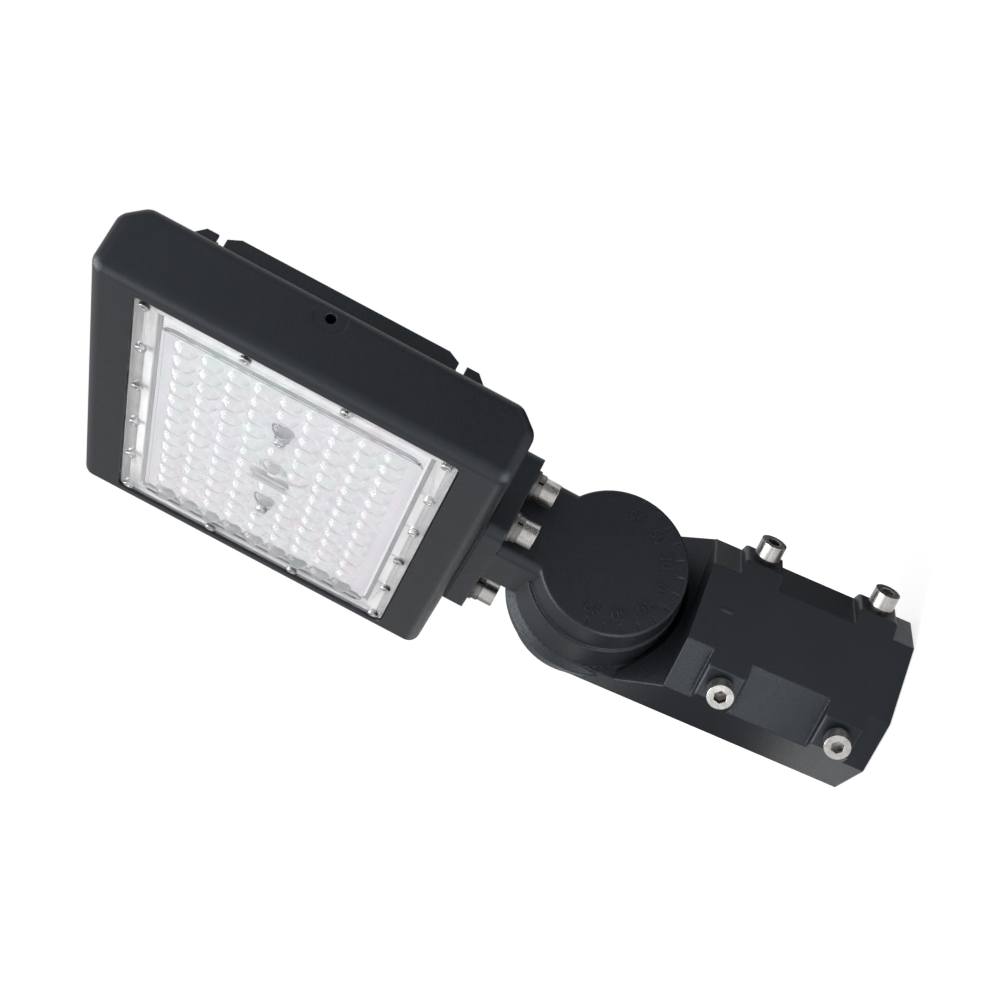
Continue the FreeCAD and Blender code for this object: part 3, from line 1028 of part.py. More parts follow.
def build_driver_box_contents():
    """Driver, terminal block, leads, grommet, cover and its seal."""
    driver = new_body("driver")
    case = Drawing(driver, "CaseOutline", "XZ", f"-{PLATE_BACK}")
    case.rectangle("-driver_width / 2", DRIVER_START, "driver_width / 2", DRIVER_END)
    pad(driver, "Case", case, "driver_height", BACK)
    ears = Drawing(driver, "EarOutline", "XZ", f"-{PLATE_BACK}")
    ears.rectangle(
        "-ear_width / 2", f"{DRIVER_START} - ear_length", "ear_width / 2", f"{DRIVER_END} + ear_length"
    )
    pad(driver, "Ears", ears, "ear_thickness", BACK)
    holes = Drawing(driver, "EarHoleOutline", "XZ", f"-{PLATE_BACK}")
    circles(holes, driver_screw_places(), "m4_shank / 2 + screw_hole_gap")
    pocket(driver, "EarHoles", holes, "ear_thickness", BACK)

    terminal = new_body("terminal_block")
    start = f"({BOX_INSIDE_START} + terminal_room)"
    block = Drawing(terminal, "BlockOutline", "XZ", f"-{PLATE_BACK}")
    block.rectangle(
        "-terminal_offset - terminal_width / 2", start,
        "-terminal_offset + terminal_width / 2", f"{start} + terminal_length",
    )
    pad(terminal, "Block", block, "terminal_height", BACK)

    supply = new_body("supply_leads")
    ends = Drawing(supply, "LeadOutline", "XY", f"{start} + terminal_length")
    for step in ("-supply_lead_step", "0 * supply_lead_step", "supply_lead_step"):
        ends.circle(f"-terminal_offset + {step}", f"-{PLATE_BACK} + supply_lead_rise", "lead_thickness / 2")
    pad(supply, "Leads", ends, f"{DRIVER_START} - {start} - terminal_length", UP)

    led_leads = new_body("led_leads")
    pair = Drawing(led_leads, "LeadOutline", "XZ", f"-{PLATE_BACK}")
    for side in ("-", ""):
        pair.circle(f"{side}led_lead_step / 2", MIDDLE, "lead_thickness / 2")
    pad(led_leads, "Leads", pair, f"{BOARD_FRONT} - {PLATE_BACK}", FRONT)

    grommet = new_body("wire_grommet")
    collar = Drawing(grommet, "CollarOutline", "XY", BOX_INSIDE_START)
    collar.circle("wire_offset", "0", "grommet_flange / 2").circle("wire_offset", "0", "grommet_bore / 2")
    pad(grommet, "Collar", collar, "grommet_flange_thickness", UP)
    sleeve = Drawing(grommet, "SleeveOutline", "XY", BOX_INSIDE_START)
    sleeve.circle("wire_offset", "0", "wire_hole / 2 - grommet_gap")
    sleeve.circle("wire_offset", "0", "grommet_bore / 2")
    pad(grommet, "Sleeve", sleeve, "box_end", DOWN)

    gasket = new_body("cover_gasket")
    outline = Drawing(gasket, "GasketOutline", "XZ", "box_depth")
    outline.rectangle(
        "-box_width / 2 + cover_inset", f"{HOUSING_START} + cover_inset",
        "box_width / 2 - cover_inset", f"{BOX_END} - cover_inset",
    )
    outline.rectangle(
        "-box_width / 2 + box_wall", BOX_INSIDE_START, "box_width / 2 - box_wall", BOX_INSIDE_END
    )
    circles(outline, cover_screw_places(), "screw_shank / 2 + screw_hole_gap")
    ring = pad(gasket, "Gasket", outline, "cover_gasket_thickness", BACK)
    fillet(
        gasket, "GasketCorners", ring, "box_corner - cover_inset",
        lambda e: runs_along(e, BACK)
        and at(e, x=value("box_width / 2 - cover_inset"), z=value(f"{BOX_END} - cover_inset")),
    )

    cover = new_body("driver_cover")
    outline = Drawing(cover, "CoverOutline", "XZ", "box_depth + cover_gasket_thickness")
    outline.rectangle(
        "-box_width / 2 + cover_inset", f"{HOUSING_START} + cover_inset",
        "box_width / 2 - cover_inset", f"{BOX_END} - cover_inset",
    )
    circles(outline, cover_screw_places(), "screw_shank / 2 + screw_hole_gap")
    plate = pad(cover, "Plate", outline, "cover_thickness", BACK)
    fillet(
        cover, "CoverCorners", plate, "box_corner - cover_inset",
        lambda e: runs_along(e, BACK)
        and at(e, x=value("box_width / 2 - cover_inset"), z=value(f"{BOX_END} - cover_inset")),
    )
    rib = Drawing(cover, "RibOutline", "XZ", COVER_BACK)
    first = "(cover_rib_step * (cover_rib_count - 1) / 2)"
    rib.rectangle(
        f"-{first} - cover_rib_width / 2", f"{HOUSING_START} + cover_rib_margin",
        f"-{first} + cover_rib_width / 2", f"{BOX_END} - cover_rib_margin",
    )
    bar = pad(cover, "Rib", rib, "cover_rib_rise", BACK)
    line_up(cover, "Ribs", bar, rib, "H_Axis", "cover_rib_step", "cover_rib_count")


def lean_head():
    """Puts the head on the tilt axis and leans it back to its rest tilt."""
    for body in head_nodes:
        body.Placement = Placement(Vector(), Rotation(RIGHT, -value("rest_tilt")))
        body.setExpression("Placement.Base.z", formula("pivot_height"))


def check_and_export():
    """Stops on a broken feature or solid, then writes one STEP file for each piece."""
    for item in doc.Objects:
        if "Invalid" in item.State or "Error" in item.State:
            raise RuntimeError(f"{item.Name} ({item.Label}) did not build: {item.State}")
    os.makedirs("parts", exist_ok=True)
    for name, body in nodes.items():
        shape = body.Shape
        if shape.isNull() or not shape.isValid() or not shape.Solids:
            raise RuntimeError(f"{name} has no valid solid")
        shape.exportStep(f"parts/{name}.step")
        print(f"{name}: {len(shape.Solids)} solid(s), {shape.Volume / 1000:.1f} cm3")


build_slip_fitter()
build_clamp_screw("clamp_screw_front_lower", RIGHT + FRONT, "clamp_low")
build_clamp_screw("clamp_screw_front_upper", RIGHT + FRONT, "clamp_low + clamp_step")
build_clamp_screw("clamp_screw_back_lower", RIGHT + BACK, "clamp_low")
build_clamp_screw("clamp_screw_back_upper", RIGHT + BACK, "clamp_low + clamp_step")
build_knuckle_upper()
build_pivot()
build_flange_hardware()
build_housing()
build_lens_plate()
build_light_board()
build_screws()
build_driver_box_contents()
lean_head()
doc.recompute()
check_and_export()
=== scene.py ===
import json
import math
from typing import NamedTuple

import bmesh
import bpy
from bpy.props import FloatProperty, FloatVectorProperty, PointerProperty
from mathutils import Matrix, Vector


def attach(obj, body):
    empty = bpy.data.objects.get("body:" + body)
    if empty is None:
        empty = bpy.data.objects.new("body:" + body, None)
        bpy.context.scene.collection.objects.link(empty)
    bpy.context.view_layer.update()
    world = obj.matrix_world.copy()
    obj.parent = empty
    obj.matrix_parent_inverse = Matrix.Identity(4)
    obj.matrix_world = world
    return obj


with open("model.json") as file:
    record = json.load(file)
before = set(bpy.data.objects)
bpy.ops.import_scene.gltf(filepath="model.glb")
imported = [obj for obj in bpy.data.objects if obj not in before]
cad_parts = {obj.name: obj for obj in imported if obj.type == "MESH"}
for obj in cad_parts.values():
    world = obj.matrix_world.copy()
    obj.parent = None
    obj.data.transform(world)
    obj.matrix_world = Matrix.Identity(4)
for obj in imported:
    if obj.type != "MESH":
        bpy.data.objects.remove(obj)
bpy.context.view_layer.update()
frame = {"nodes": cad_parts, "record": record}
JOINTS = {joint["name"]: joint for joint in frame["record"]["behaviour"]["joints"]}
PIVOT = Vector(JOINTS["head_tilt"]["pos_m"])

bl_info = {
    "name": "Flood Light Finishes",
    "version": (1, 0, 0),
    "blender": (4, 5, 0),
    "location": "3D View > Sidebar > Flood Light",
    "description": "Finishes, tilt scale numbers and a studio stage for the LED flood light",
    "category": "Object",
}

SMOOTH_CASTINGS = ("housing", "driver_cover", "knuckle_upper")
ROUGH_CASTING = "slip_fitter"
STEEL_NODES = (
    "clamp_screw_front_lower",
    "clamp_screw_front_upper",
    "clamp_screw_back_lower",
    "clamp_screw_back_upper",
    "pivot_bolt",
    "flange_bolts",
    "cover_screws",
    "driver_screws",
)
WASHER_NODES = ("pivot_flat_washer", "pivot_spring_washer", "flange_spring_washers", "flange_flat_washers")
LENS_SCREW_NODES = ("lens_screws", "lens_centre_screws")
MOULDED_NODES = ("board_connector", "terminal_block")
SEAL_NODES = ("flange_gasket", "wire_grommet", "cover_gasket")
WIRE_NODES = ("supply_leads", "led_leads")
SCALE_NUMBERS = ("90", "60", "30", "0", "30", "60", "90")

# From the tilt axis to the middle of the lens plate, along the head, in metres.
LENS_MIDDLE = 0.167
# Height of a digit, as a share of its font's size.
DIGIT_SHARE = 0.7
# Bevel of a number's edge, as a share of its relief.
BEVEL_SHARE = 0.25
# Ranges that the outputs of the shared effects mostly keep to.
HEIGHT_RANGE = (0.3, 0.9)
DRIFT_RANGE = (0.3, 0.7)
MARKS_RANGE = (0.3, 0.7)
WHITE = (1, 1, 1, 1)
# Points that lamps and cards face where they don't face the camera's aim, in metres.
OVERHEAD = (0, 0, 100)
UNDER_FITTER = (0, -0.04, -0.09)


class LampPlan(NamedTuple):
    """A square soft lamp: its place and width in metres, and the setting that holds its power."""

    place: tuple
    width: float
    power: str
    faces: tuple = ()
    highlights_only: bool = False
    reaches: tuple = ()


class CardPlan(NamedTuple):
    """A square card that only shows in reflections: its place and half width in metres, and its tone."""

    place: tuple
    half: float
    tone: float
    faces: tuple = ()


LAMPS = {
    "front_lamp": LampPlan((0.25, -1.55, 0.95), width=1.3, power="key_power"),
    "side_lamp": LampPlan((1.5, 0.35, 1.05), width=1.0, power="side_power"),
    "high_lamp": LampPlan((-0.05, -0.62, 1.5), width=1.5, power="high_power", highlights_only=True),
    "low_lamp": LampPlan(
        (0.29, -0.30, 0.003), width=0.42, power="low_power", faces=OVERHEAD, highlights_only=True,
        reaches=(*SMOOTH_CASTINGS, ROUGH_CASTING)),
}
CARDS = {
    "far_card": CardPlan((-1.6, -0.6, 0.55), half=1.5, tone=0.40),
    "near_card": CardPlan((0.62, 0.30, -0.14), half=0.5, tone=0.05),
    "front_card": CardPlan((0.35, -2.1, 0.72), half=0.75, tone=0.08),
    "low_card": CardPlan((-0.40, -0.19, -0.09), half=0.16, tone=0.03, faces=UNDER_FITTER),
    "floor_card_left": CardPlan((-0.33, -0.36, 0.001), half=0.36, tone=0.06, faces=OVERHEAD),
    "floor_card_back": CardPlan((-0.2, 0.44, 0.0015), half=0.42, tone=0.03, faces=OVERHEAD),
    "floor_card_front": CardPlan((0.47, -0.49, 0.002), half=0.42, tone=2.1, faces=OVERHEAD),
}


def colour_setting(label, text, default):
    """A colour that shows as a swatch in the panel."""
    return FloatVectorProperty(name=label, description=text, default=default, subtype="COLOR", min=0, max=1)


def share_setting(label, text, default):
    """A share between none and all."""
    return FloatProperty(name=label, description=text, default=default, subtype="FACTOR", min=0, max=1)


def length_setting(label, text, default):
    """A length in metres."""
    return FloatProperty(name=label, description=text, default=default, unit="LENGTH", precision=4)


def angle_setting(label, text, degrees):
    """An angle, kept in radians as Blender does."""
    return FloatProperty(name=label, description=text, default=math.radians(degrees), unit="ROTATION")


def power_setting(label, text, watts):
    """The power of a lamp."""
    return FloatProperty(name=label, description=text, default=watts, unit="POWER")


def place_setting(label, text, default):
    """A place in metres."""
    return FloatVectorProperty(name=label, description=text, default=default, subtype="TRANSLATION")


class CastingSettings(bpy.types.PropertyGroup):
    """Powder coat on the castings."""

    coat: colour_setting("Coat", "Colour of the powder coat", (0.0128, 0.0146, 0.0190))
    worn: colour_setting("Worn edge", "Colour of the coat where edges are rubbed", (0.034, 0.036, 0.041))
    dust: colour_setting("Dust", "Colour of the dust in the corners", (0.040, 0.040, 0.042))
    reflection: colour_setting("Reflection", "Tint of what the coat reflects", (0.82, 0.91, 1.0))
    grain: length_setting("Grain", "Width of one bump of the coat", 0.0011)
    roughness: share_setting("Roughness", "Roughness of the coat", 0.38)


class HardwareSettings(bpy.types.PropertyGroup):
    """Stainless screws, bolts and washers."""

    steel: colour_setting("Steel", "Colour of the stainless steel", (0.45, 0.44, 0.425))
    # Besides real stain, this colour is painted as shade into the corners of every metal finish.
    stain: colour_setting("Stain", "Colour of the stain in the steel's low spots", (0.07, 0.063, 0.056))
    washer: colour_setting("Washer", "Colour of the washers", (0.20, 0.195, 0.19))
    zinc: colour_setting("Zinc", "Colour of the bright plated screws in the lens plate", (0.78, 0.78, 0.79))
    brass: colour_setting("Brass", "Colour of the earth screw", (0.70, 0.50, 0.20))
    roughness: share_setting("Roughness", "Roughness of the turned steel", 0.25)


class LensSettings(bpy.types.PropertyGroup):
    """Clear plate in front of the light sources."""

    tint: colour_setting("Tint", "Colour of the clear plate", (0.81, 0.81, 0.84))
    roughness: share_setting("Roughness", "Roughness of the plate", 0.05)
    frost: share_setting("Frost", "Roughness of the plate's border", 0.08)
    border: colour_setting("Border", "Colour of the plate's border", (0.97, 0.97, 0.98))
    # Painted shade: a dark colour on the clear rib's inner walls, standing in for the shade along the
    # plate's edge.
    painted_rib_shade: colour_setting(
        "Painted rib shade", "Colour of the inner walls of the plate's rib", (0.06, 0.065, 0.085))
    dust: colour_setting("Dust", "Colour of the dust in the plate's corners", (0.70, 0.70, 0.69))
    reflection: colour_setting("Reflection", "Tint of what the plate reflects", (0.5, 0.5, 0.52))
    rib_place: length_setting("Rib place", "Middle of the head to the inner walls of the rib", 0.110)
    rib_outside: length_setting("Rib outside", "Middle of the head to the outer walls of the rib", 0.1125)
    rib_end: length_setting("Rib end", "Middle of the lens plate to the outer ends of the rib", 0.0660)
    pink: colour_setting("Pink", "One colour of the moulding stress in the plate", (0.84, 0.78, 0.81))
    green: colour_setting("Green", "Other colour of the moulding stress in the plate", (0.77, 0.83, 0.81))


class LightBoardSettings(bpy.types.PropertyGroup):
    """Board, chips and what holds them."""

    mask: colour_setting("Mask", "Colour of the board's white coat", (0.95, 0.94, 0.96))
    track: colour_setting("Track", "Colour of the coat over the copper tracks", (0.87, 0.86, 0.89))
    phosphor: colour_setting("Phosphor", "Colour of the chips' phosphor", (0.88, 0.72, 0.30))
    chip_body: colour_setting("Chip body", "Colour of the chips' frame", (0.88, 0.88, 0.86))
    pad: colour_setting("Pad", "Colour of the thermal pad", (0.42, 0.45, 0.50))
    column_step: length_setting("Column step", "Distance between chips along the head's width", 0.0166)
    row_step: length_setting("Row step", "Distance between chips along the head's length", 0.0132)
    phosphor_radius: length_setting("Phosphor radius", "Radius of a chip's disc of phosphor", 0.00125)
    track_half: length_setting("Track half", "Half of the width of a copper track", 0.0030)


class DriverSettings(bpy.types.PropertyGroup):
    """Power supply, wires and seals."""

    case: colour_setting("Case", "Colour of the power supply's case", (0.45, 0.46, 0.47))
    # Besides real stain, this colour is painted as shade into the corners of the case.
    case_stain_and_shade: colour_setting("Case stain and shade", "Colour of the stain on the case", (0.2, 0.2, 0.2))
    moulding: colour_setting("Moulding", "Colour of the connector and terminal block", (0.92, 0.92, 0.90))
    seal: colour_setting("Seal", "Colour of the black silicone seals", (0.022, 0.022, 0.023))
    pale_seal: colour_setting(
        "Pale seal", "Colour of the white silicone under the lens plate", (0.92, 0.92, 0.92))
    live_wire: colour_setting("Live wire", "Colour of the live wires' cover", (0.35, 0.02, 0.02))
    dark_wire: colour_setting("Dark wire", "Colour of the other wires' cover", (0.02, 0.02, 0.02))


class ScaleSettings(bpy.types.PropertyGroup):
    """Raised numbers on the tilt scale."""

    height: length_setting("Height", "Height of a number", 0.0060)
    relief: length_setting("Relief", "How far a number stands out of the disc", 0.0004)
    radius: length_setting("Radius", "Distance from the tilt axis to the middle of a number", 0.0255)
    face: length_setting("Face", "Place of the disc's face along the tilt axis", 0.04085)
    rest_tilt: angle_setting("Rest tilt", "Angle between the head and the fitter at rest", -5)
    step: angle_setting("Step", "Angle from one number to the next", 30)


class StageSettings(bpy.types.PropertyGroup):
    """Floor, light and camera."""

    floor: colour_setting("Floor", "Colour of the floor", (0.86, 0.86, 0.86))
    floor_level: length_setting("Floor level", "Height of the floor", -0.0005)
    backdrop: share_setting(
        "Backdrop", "White that the floor shows besides the light that falls on it", 0.67)
    ambient: FloatProperty(name="Ambient", description="Light from all round", default=0.42, min=0)
    key_power: power_setting("Front light", "Power of the lamp in front", 12)
    side_power: power_setting("Side light", "Power of the lamp at the side", 3)
    high_power: power_setting("High light", "Power of the lamp above", 55)
    low_power: power_setting("Low light", "Power of the lamp on the floor", 3.4)
    camera_place: place_setting("Camera", "Place of the camera", (0.9933, -0.3644, 0.2698))
    camera_aim: place_setting("Aim", "Point at the middle of the picture", (0.01617, 0.01572, 0.21312))
    camera_roll: angle_setting("Roll", "Turn of the camera about its line of sight", -66.65)
    focal_length: FloatProperty(
        name="Focal length", description="Lens of the camera in millimetres", default=76.87)


SETTINGS = {
    "flood_castings": CastingSettings,
    "flood_hardware": HardwareSettings,
    "flood_lens": LensSettings,
    "flood_board": LightBoardSettings,
    "flood_driver": DriverSettings,
    "flood_scale": ScaleSettings,
    "flood_stage": StageSettings,
}


def opaque(colour):
    """A colour with full alpha, as colour sockets want it."""
    return (*colour, 1.0)


def add_node(tree, kind, inputs=None, **options):
    """Add a node, set its options and feed its inputs with values or with other nodes' outputs."""
    node = tree.nodes.new(kind)
    for option, setting in options.items():
        setattr(node, option, setting)
    for socket, source in (inputs or {}).items():
        if isinstance(source, bpy.types.NodeSocket):
            tree.links.new(source, node.inputs[socket])
        else:
            node.inputs[socket].default_value = source
    return node


def maths(tree, operation, *sources, clamp=False):
    """The output of a Math node."""
    node = add_node(tree, "ShaderNodeMath", dict(enumerate(sources)), operation=operation, use_clamp=clamp)
    return node.outputs[0]


def remap(tree, source, low, high, new_low=0.0, new_high=1.0):
    """The source stretched from one range to another and held within it."""
    limits = {"Value": source, "From Min": low, "From Max": high, "To Min": new_low, "To Max": new_high}
    return add_node(tree, "ShaderNodeMapRange", limits).outputs[0]


def mix_colours(tree, factor, first, second):
    """A colour between two others."""
    node = add_node(tree, "ShaderNodeMix", {0: factor, 6: first, 7: second}, data_type="RGBA")
    return node.outputs[2]


def noise(tree, place, scale, detail, distortion=0.0):
    """Noise at a number of bumps for each metre."""
    inputs = {"Vector": place, "Scale": scale, "Detail": detail, "Distortion": distortion}
    return add_node(tree, "ShaderNodeTexNoise", inputs).outputs[0]


def new_group(name, inputs, outputs):
    """An empty node group with its number inputs and its outputs, and its two end nodes."""
    group = bpy.data.node_groups.new(name, "ShaderNodeTree")
    for label, default in inputs.items():
        socket = group.interface.new_socket(label, in_out="INPUT", socket_type="NodeSocketFloat")
        socket.default_value = default
    for label in outputs:
        kind = "NodeSocketVector" if label == "Normal" else "NodeSocketFloat"
        group.interface.new_socket(label, in_out="OUTPUT", socket_type=kind)
    return group, add_node(group, "NodeGroupInput"), add_node(group, "NodeGroupOutput")


def own_place(tree):
    """The place on the piece in metres, which goes along when the piece moves."""
    return add_node(tree, "ShaderNodeTexCoord").outputs["Object"]


def grain_group():
    """Fine bumps of a sprayed or moulded skin, with a slow drift in its tone."""
    group, start, end = new_group("SkinGrain", {"Bumps per metre": 900.0}, ("Height", "Drift"))
    place = own_place(group)
    bumps = noise(group, place, start.outputs[0], 3.0)
    cells = add_node(group, "ShaderNodeTexVoronoi", {"Vector": place, "Scale": start.outputs[0]})
    cell_share = 0.45
    height = maths(group, "MULTIPLY_ADD", cells.outputs["Distance"], cell_share, bumps)
    drift = noise(group, place, 38.0, 4.0)
    group.links.new(height, end.inputs["Height"])
    group.links.new(drift, end.inputs["Drift"])
    return group


def wear_group():
    """Softened edges, and a mask of where they get rubbed, broken up by noise."""
    group, start, end = new_group("SoftEdge", {"Width": 0.0008, "Amount": 1.0}, ("Mask", "Normal"))
    rounded = add_node(group, "ShaderNodeBevel", {"Radius": start.outputs["Width"]}, samples=6)
    flat = add_node(group, "ShaderNodeNewGeometry")
    normals = {0: rounded.outputs[0], 1: flat.outputs["Normal"]}
    match = add_node(group, "ShaderNodeVectorMath", normals, operation="DOT_PRODUCT")
    flat_match = 0.995
    edge_match = 0.86
    edge = remap(group, match.outputs["Value"], flat_match, edge_match)
    patches = remap(group, noise(group, own_place(group), 160.0, 5.0), 0.36, 0.62, 0.15, 1.0)
    mask = maths(group, "MULTIPLY", edge, patches)
    group.links.new(maths(group, "MULTIPLY", mask, start.outputs["Amount"], clamp=True), end.inputs["Mask"])
    group.links.new(rounded.outputs[0], end.inputs["Normal"])
    return group


def corner_dust_and_shade_group():
    """Mask of the corners: where dust stays, and where the metal finishes paint shade."""
    group, start, end = new_group("CornerDust", {"Reach": 0.006, "Amount": 1.0}, ("Mask",))
    shade = add_node(group, "ShaderNodeAmbientOcclusion", {"Distance": start.outputs["Reach"]}, samples=6)
    open_shade = 0.9
    corner_shade = 0.45
    corner = remap(group, shade.outputs["AO"], open_shade, corner_shade)
    cloud = remap(group, noise(group, own_place(group), 70.0, 6.0), 0.4, 0.68)
    mask = maths(group, "MULTIPLY", corner, cloud)
    group.links.new(maths(group, "MULTIPLY", mask, start.outputs["Amount"], clamp=True), end.inputs["Mask"])
    return group


def turning_group():
    """Fine tool marks and stain of turned metal."""
    group, start, end = new_group("ToolMarks", {"Marks per metre": 2600.0}, ("Marks", "Stain"))
    place = own_place(group)
    marks = noise(group, place, start.outputs[0], 1.0, distortion=0.6)
    stain = remap(group, noise(group, place, 240.0, 5.0), 0.42, 0.75)
    group.links.new(marks, end.inputs["Marks"])
    group.links.new(stain, end.inputs["Stain"])
    return group


GROUP_MAKERS = {
    "SkinGrain": grain_group,
    "SoftEdge": wear_group,
    "CornerDust": corner_dust_and_shade_group,
    "ToolMarks": turning_group,
}


def effect(tree, name, inputs=None):
    """Place a shared effect in a material and give back its outputs."""
    group = bpy.data.node_groups.get(name) or GROUP_MAKERS[name]()
    return add_node(tree, "ShaderNodeGroup", inputs, node_tree=group).outputs


def new_finish(name, **constants):
    """A material with a plain shader, the shader's even values set."""
    material = bpy.data.materials.new(name)
    material.use_nodes = True
    tree = material.node_tree
    shader = next(node for node in tree.nodes if node.type == "BSDF_PRINCIPLED")
    for socket, value in constants.items():
        shader.inputs[socket.replace("_", " ").title().replace("Ior", "IOR")].default_value = value
    return material, tree, shader


def raise_surface(tree, shader, height, relief, base=None):
    """Feed a height, relief metres deep, to the shader's normal, over the softened edges that base gives."""
    bump = add_node(tree, "ShaderNodeBump", {"Height": height, "Distance": relief})
    if base:
        tree.links.new(base, bump.inputs["Normal"])
    tree.links.new(bump.outputs[0], shader.inputs["Normal"])


def rough_skin(tree, height, roughness):
    """Roughness that goes up and down with the bumps of a skin."""
    return remap(tree, height, *HEIGHT_RANGE, roughness - 0.06, roughness + 0.08)


def cleared_tree(holder):
    """The node tree of a material or world, emptied."""
    holder.use_nodes = True
    holder.node_tree.nodes.clear()
    return holder.node_tree


def white_glow(tree, strength):
    """The output of a shader that shows white by itself."""
    return add_node(tree, "ShaderNodeEmission", {"Color": WHITE, "Strength": strength}).outputs[0]


def dress(node, material):
    """Give a piece of the frame its finish."""
    piece = frame["nodes"][node]
    if not piece.material_slots:
        piece.data.materials.append(material)
    for slot in piece.material_slots:
        slot.material = material


def head_place(tree, tilt):
    """The place on the head in metres, in the head's own directions with the tilt axis as origin."""
    turn = {"Vector": own_place(tree), "Location": PIVOT, "Rotation": (tilt, 0, 0)}
    return add_node(tree, "ShaderNodeMapping", turn, vector_type="TEXTURE").outputs[0]


def coat_finish(name, settings, coarse=False):
    """Black powder coat: fine bumps, rubbed edges and dust in the corners. A coarse one has lumps too."""
    deep_share = 0.8
    dust_dulling = 0.3
    wear_dulling = -0.08
    lump_height = 2.6
    reflection = opaque(settings.reflection)
    material, tree, shader = new_finish(name, specular_ior_level=0.28, specular_tint=reflection)
    grain = effect(tree, "SkinGrain", {"Bumps per metre": 1 / settings.grain})
    edge = effect(tree, "SoftEdge", {"Width": 0.0014, "Amount": 0.5})
    wear = edge["Mask"]
    dust = effect(tree, "CornerDust", {"Reach": 0.005, "Amount": 0.3})["Mask"]
    drift = remap(tree, grain["Drift"], *DRIFT_RANGE)
    deeper = [deep_share * share for share in settings.coat]
    coat = mix_colours(tree, drift, opaque(deeper), opaque(settings.coat))
    rubbed = mix_colours(tree, wear, coat, opaque(settings.worn))
    tree.links.new(mix_colours(tree, dust, rubbed, opaque(settings.dust)), shader.inputs["Base Color"])
    roughness = rough_skin(tree, grain["Height"], settings.roughness)
    dull = maths(tree, "MULTIPLY_ADD", dust, dust_dulling, roughness)
    tree.links.new(maths(tree, "MULTIPLY_ADD", wear, wear_dulling, dull), shader.inputs["Roughness"])
    height = grain["Height"]
    if coarse:
        height = maths(tree, "MULTIPLY_ADD", casting_lumps(tree), lump_height, height)
    raise_surface(tree, shader, height, relief=0.00008, base=edge["Normal"])
    return material


def casting_lumps(tree):
    """Lumps of a rough casting, on the fitter's half of the knuckle only."""
    knuckle_start = 0.100
    knuckle_full = 0.112
    seam = 0.001
    place = add_node(tree, "ShaderNodeSeparateXYZ", {0: own_place(tree)}).outputs
    above = remap(tree, place["Z"], knuckle_start, knuckle_full)
    behind = remap(tree, place["X"], seam, -seam)
    rough_area = maths(tree, "MULTIPLY", above, behind)
    return maths(tree, "MULTIPLY", noise(tree, own_place(tree), 420.0, 4.0), rough_area)


def metal_finish(name, colour, stain_and_shade_colour, roughness):
    """Turned metal with faint tool marks and stain, and painted shade that darkens its corners."""
    stain_share = 0.35
    stain_and_shade_dulling = 0.25
    rubbed_gain = 1.15
    material, tree, shader = new_finish(name, metallic=1.0)
    marks = effect(tree, "ToolMarks", {"Marks per metre": 2600.0})
    edge = effect(tree, "SoftEdge", {"Width": 0.0005, "Amount": 0.5})
    # Painted shade: the corners are darkened toward the stain colour, standing in for the shade in sockets
    # and joints.
    grime = effect(tree, "CornerDust", {"Reach": 0.007, "Amount": 2.4})["Mask"]
    faint_stain = maths(tree, "MULTIPLY", marks["Stain"], stain_share)
    stain_and_shade_mask = maths(tree, "MAXIMUM", faint_stain, grime)
    metal = mix_colours(tree, stain_and_shade_mask, opaque(colour), opaque(stain_and_shade_colour))
    bright = [min(1.0, rubbed_gain * share) for share in colour]
    tree.links.new(mix_colours(tree, edge["Mask"], metal, opaque(bright)), shader.inputs["Base Color"])
    shine = remap(tree, marks["Marks"], *MARKS_RANGE, roughness - 0.07, roughness + 0.09)
    tree.links.new(maths(tree, "MULTIPLY_ADD", stain_and_shade_mask, stain_and_shade_dulling, shine), shader.inputs["Roughness"])
    raise_surface(tree, shader, marks["Marks"], relief=0.00002, base=edge["Normal"])
    return material


def soft_finish(name, colour, roughness, bumps, relief):
    """Moulded plastic or rubber: matt skin with a slow drift of tone and dust in the corners."""
    deep_share = 0.82
    dust_share = 0.5
    dust_grey = 0.06
    material, tree, shader = new_finish(name, specular_ior_level=0.4)
    grain = effect(tree, "SkinGrain", {"Bumps per metre": bumps})
    dust = effect(tree, "CornerDust", {"Reach": 0.004, "Amount": 0.4})["Mask"]
    drift = remap(tree, grain["Drift"], *DRIFT_RANGE)
    deeper = [deep_share * share for share in colour]
    skin = mix_colours(tree, drift, opaque(deeper), opaque(colour))
    dusty = [dust_share * share + dust_grey for share in colour]
    tree.links.new(mix_colours(tree, dust, skin, opaque(dusty)), shader.inputs["Base Color"])
    tree.links.new(rough_skin(tree, grain["Height"], roughness), shader.inputs["Roughness"])
    raise_surface(tree, shader, grain["Height"], relief)
    return material


class FLOODLIGHT_OT_castings(bpy.types.Operator):
    """Coat the housing, cover, knuckle and slip fitter"""

    bl_idname = "floodlight.castings"
    bl_label = "Coat the castings"

    def execute(self, context):
        settings = context.scene.flood_castings
        coat = coat_finish("black_powder_coat", settings)
        for node in SMOOTH_CASTINGS:
            dress(node, coat)
        dress(ROUGH_CASTING, coat_finish("black_coat_on_rough_casting", settings, coarse=True))
        return {"FINISHED"}


class FLOODLIGHT_OT_hardware(bpy.types.Operator):
    """Finish the screws, bolts and washers"""

    bl_idname = "floodlight.hardware"
    bl_label = "Finish the hardware"

    def execute(self, context):
        settings = context.scene.flood_hardware
        steel = metal_finish("stainless_steel", settings.steel, settings.stain, settings.roughness)
        for node in STEEL_NODES:
            dress(node, steel)
        dark_steel = metal_finish("washer_steel", settings.washer, settings.stain, roughness=0.3)
        for node in WASHER_NODES:
            dress(node, dark_steel)
        zinc = metal_finish("bright_zinc", settings.zinc, settings.stain, roughness=0.22)
        for node in LENS_SCREW_NODES:
            dress(node, zinc)
        brass = metal_finish("turned_brass", settings.brass, settings.stain, roughness=0.3)
        dress("ground_screw", brass)
        return {"FINISHED"}


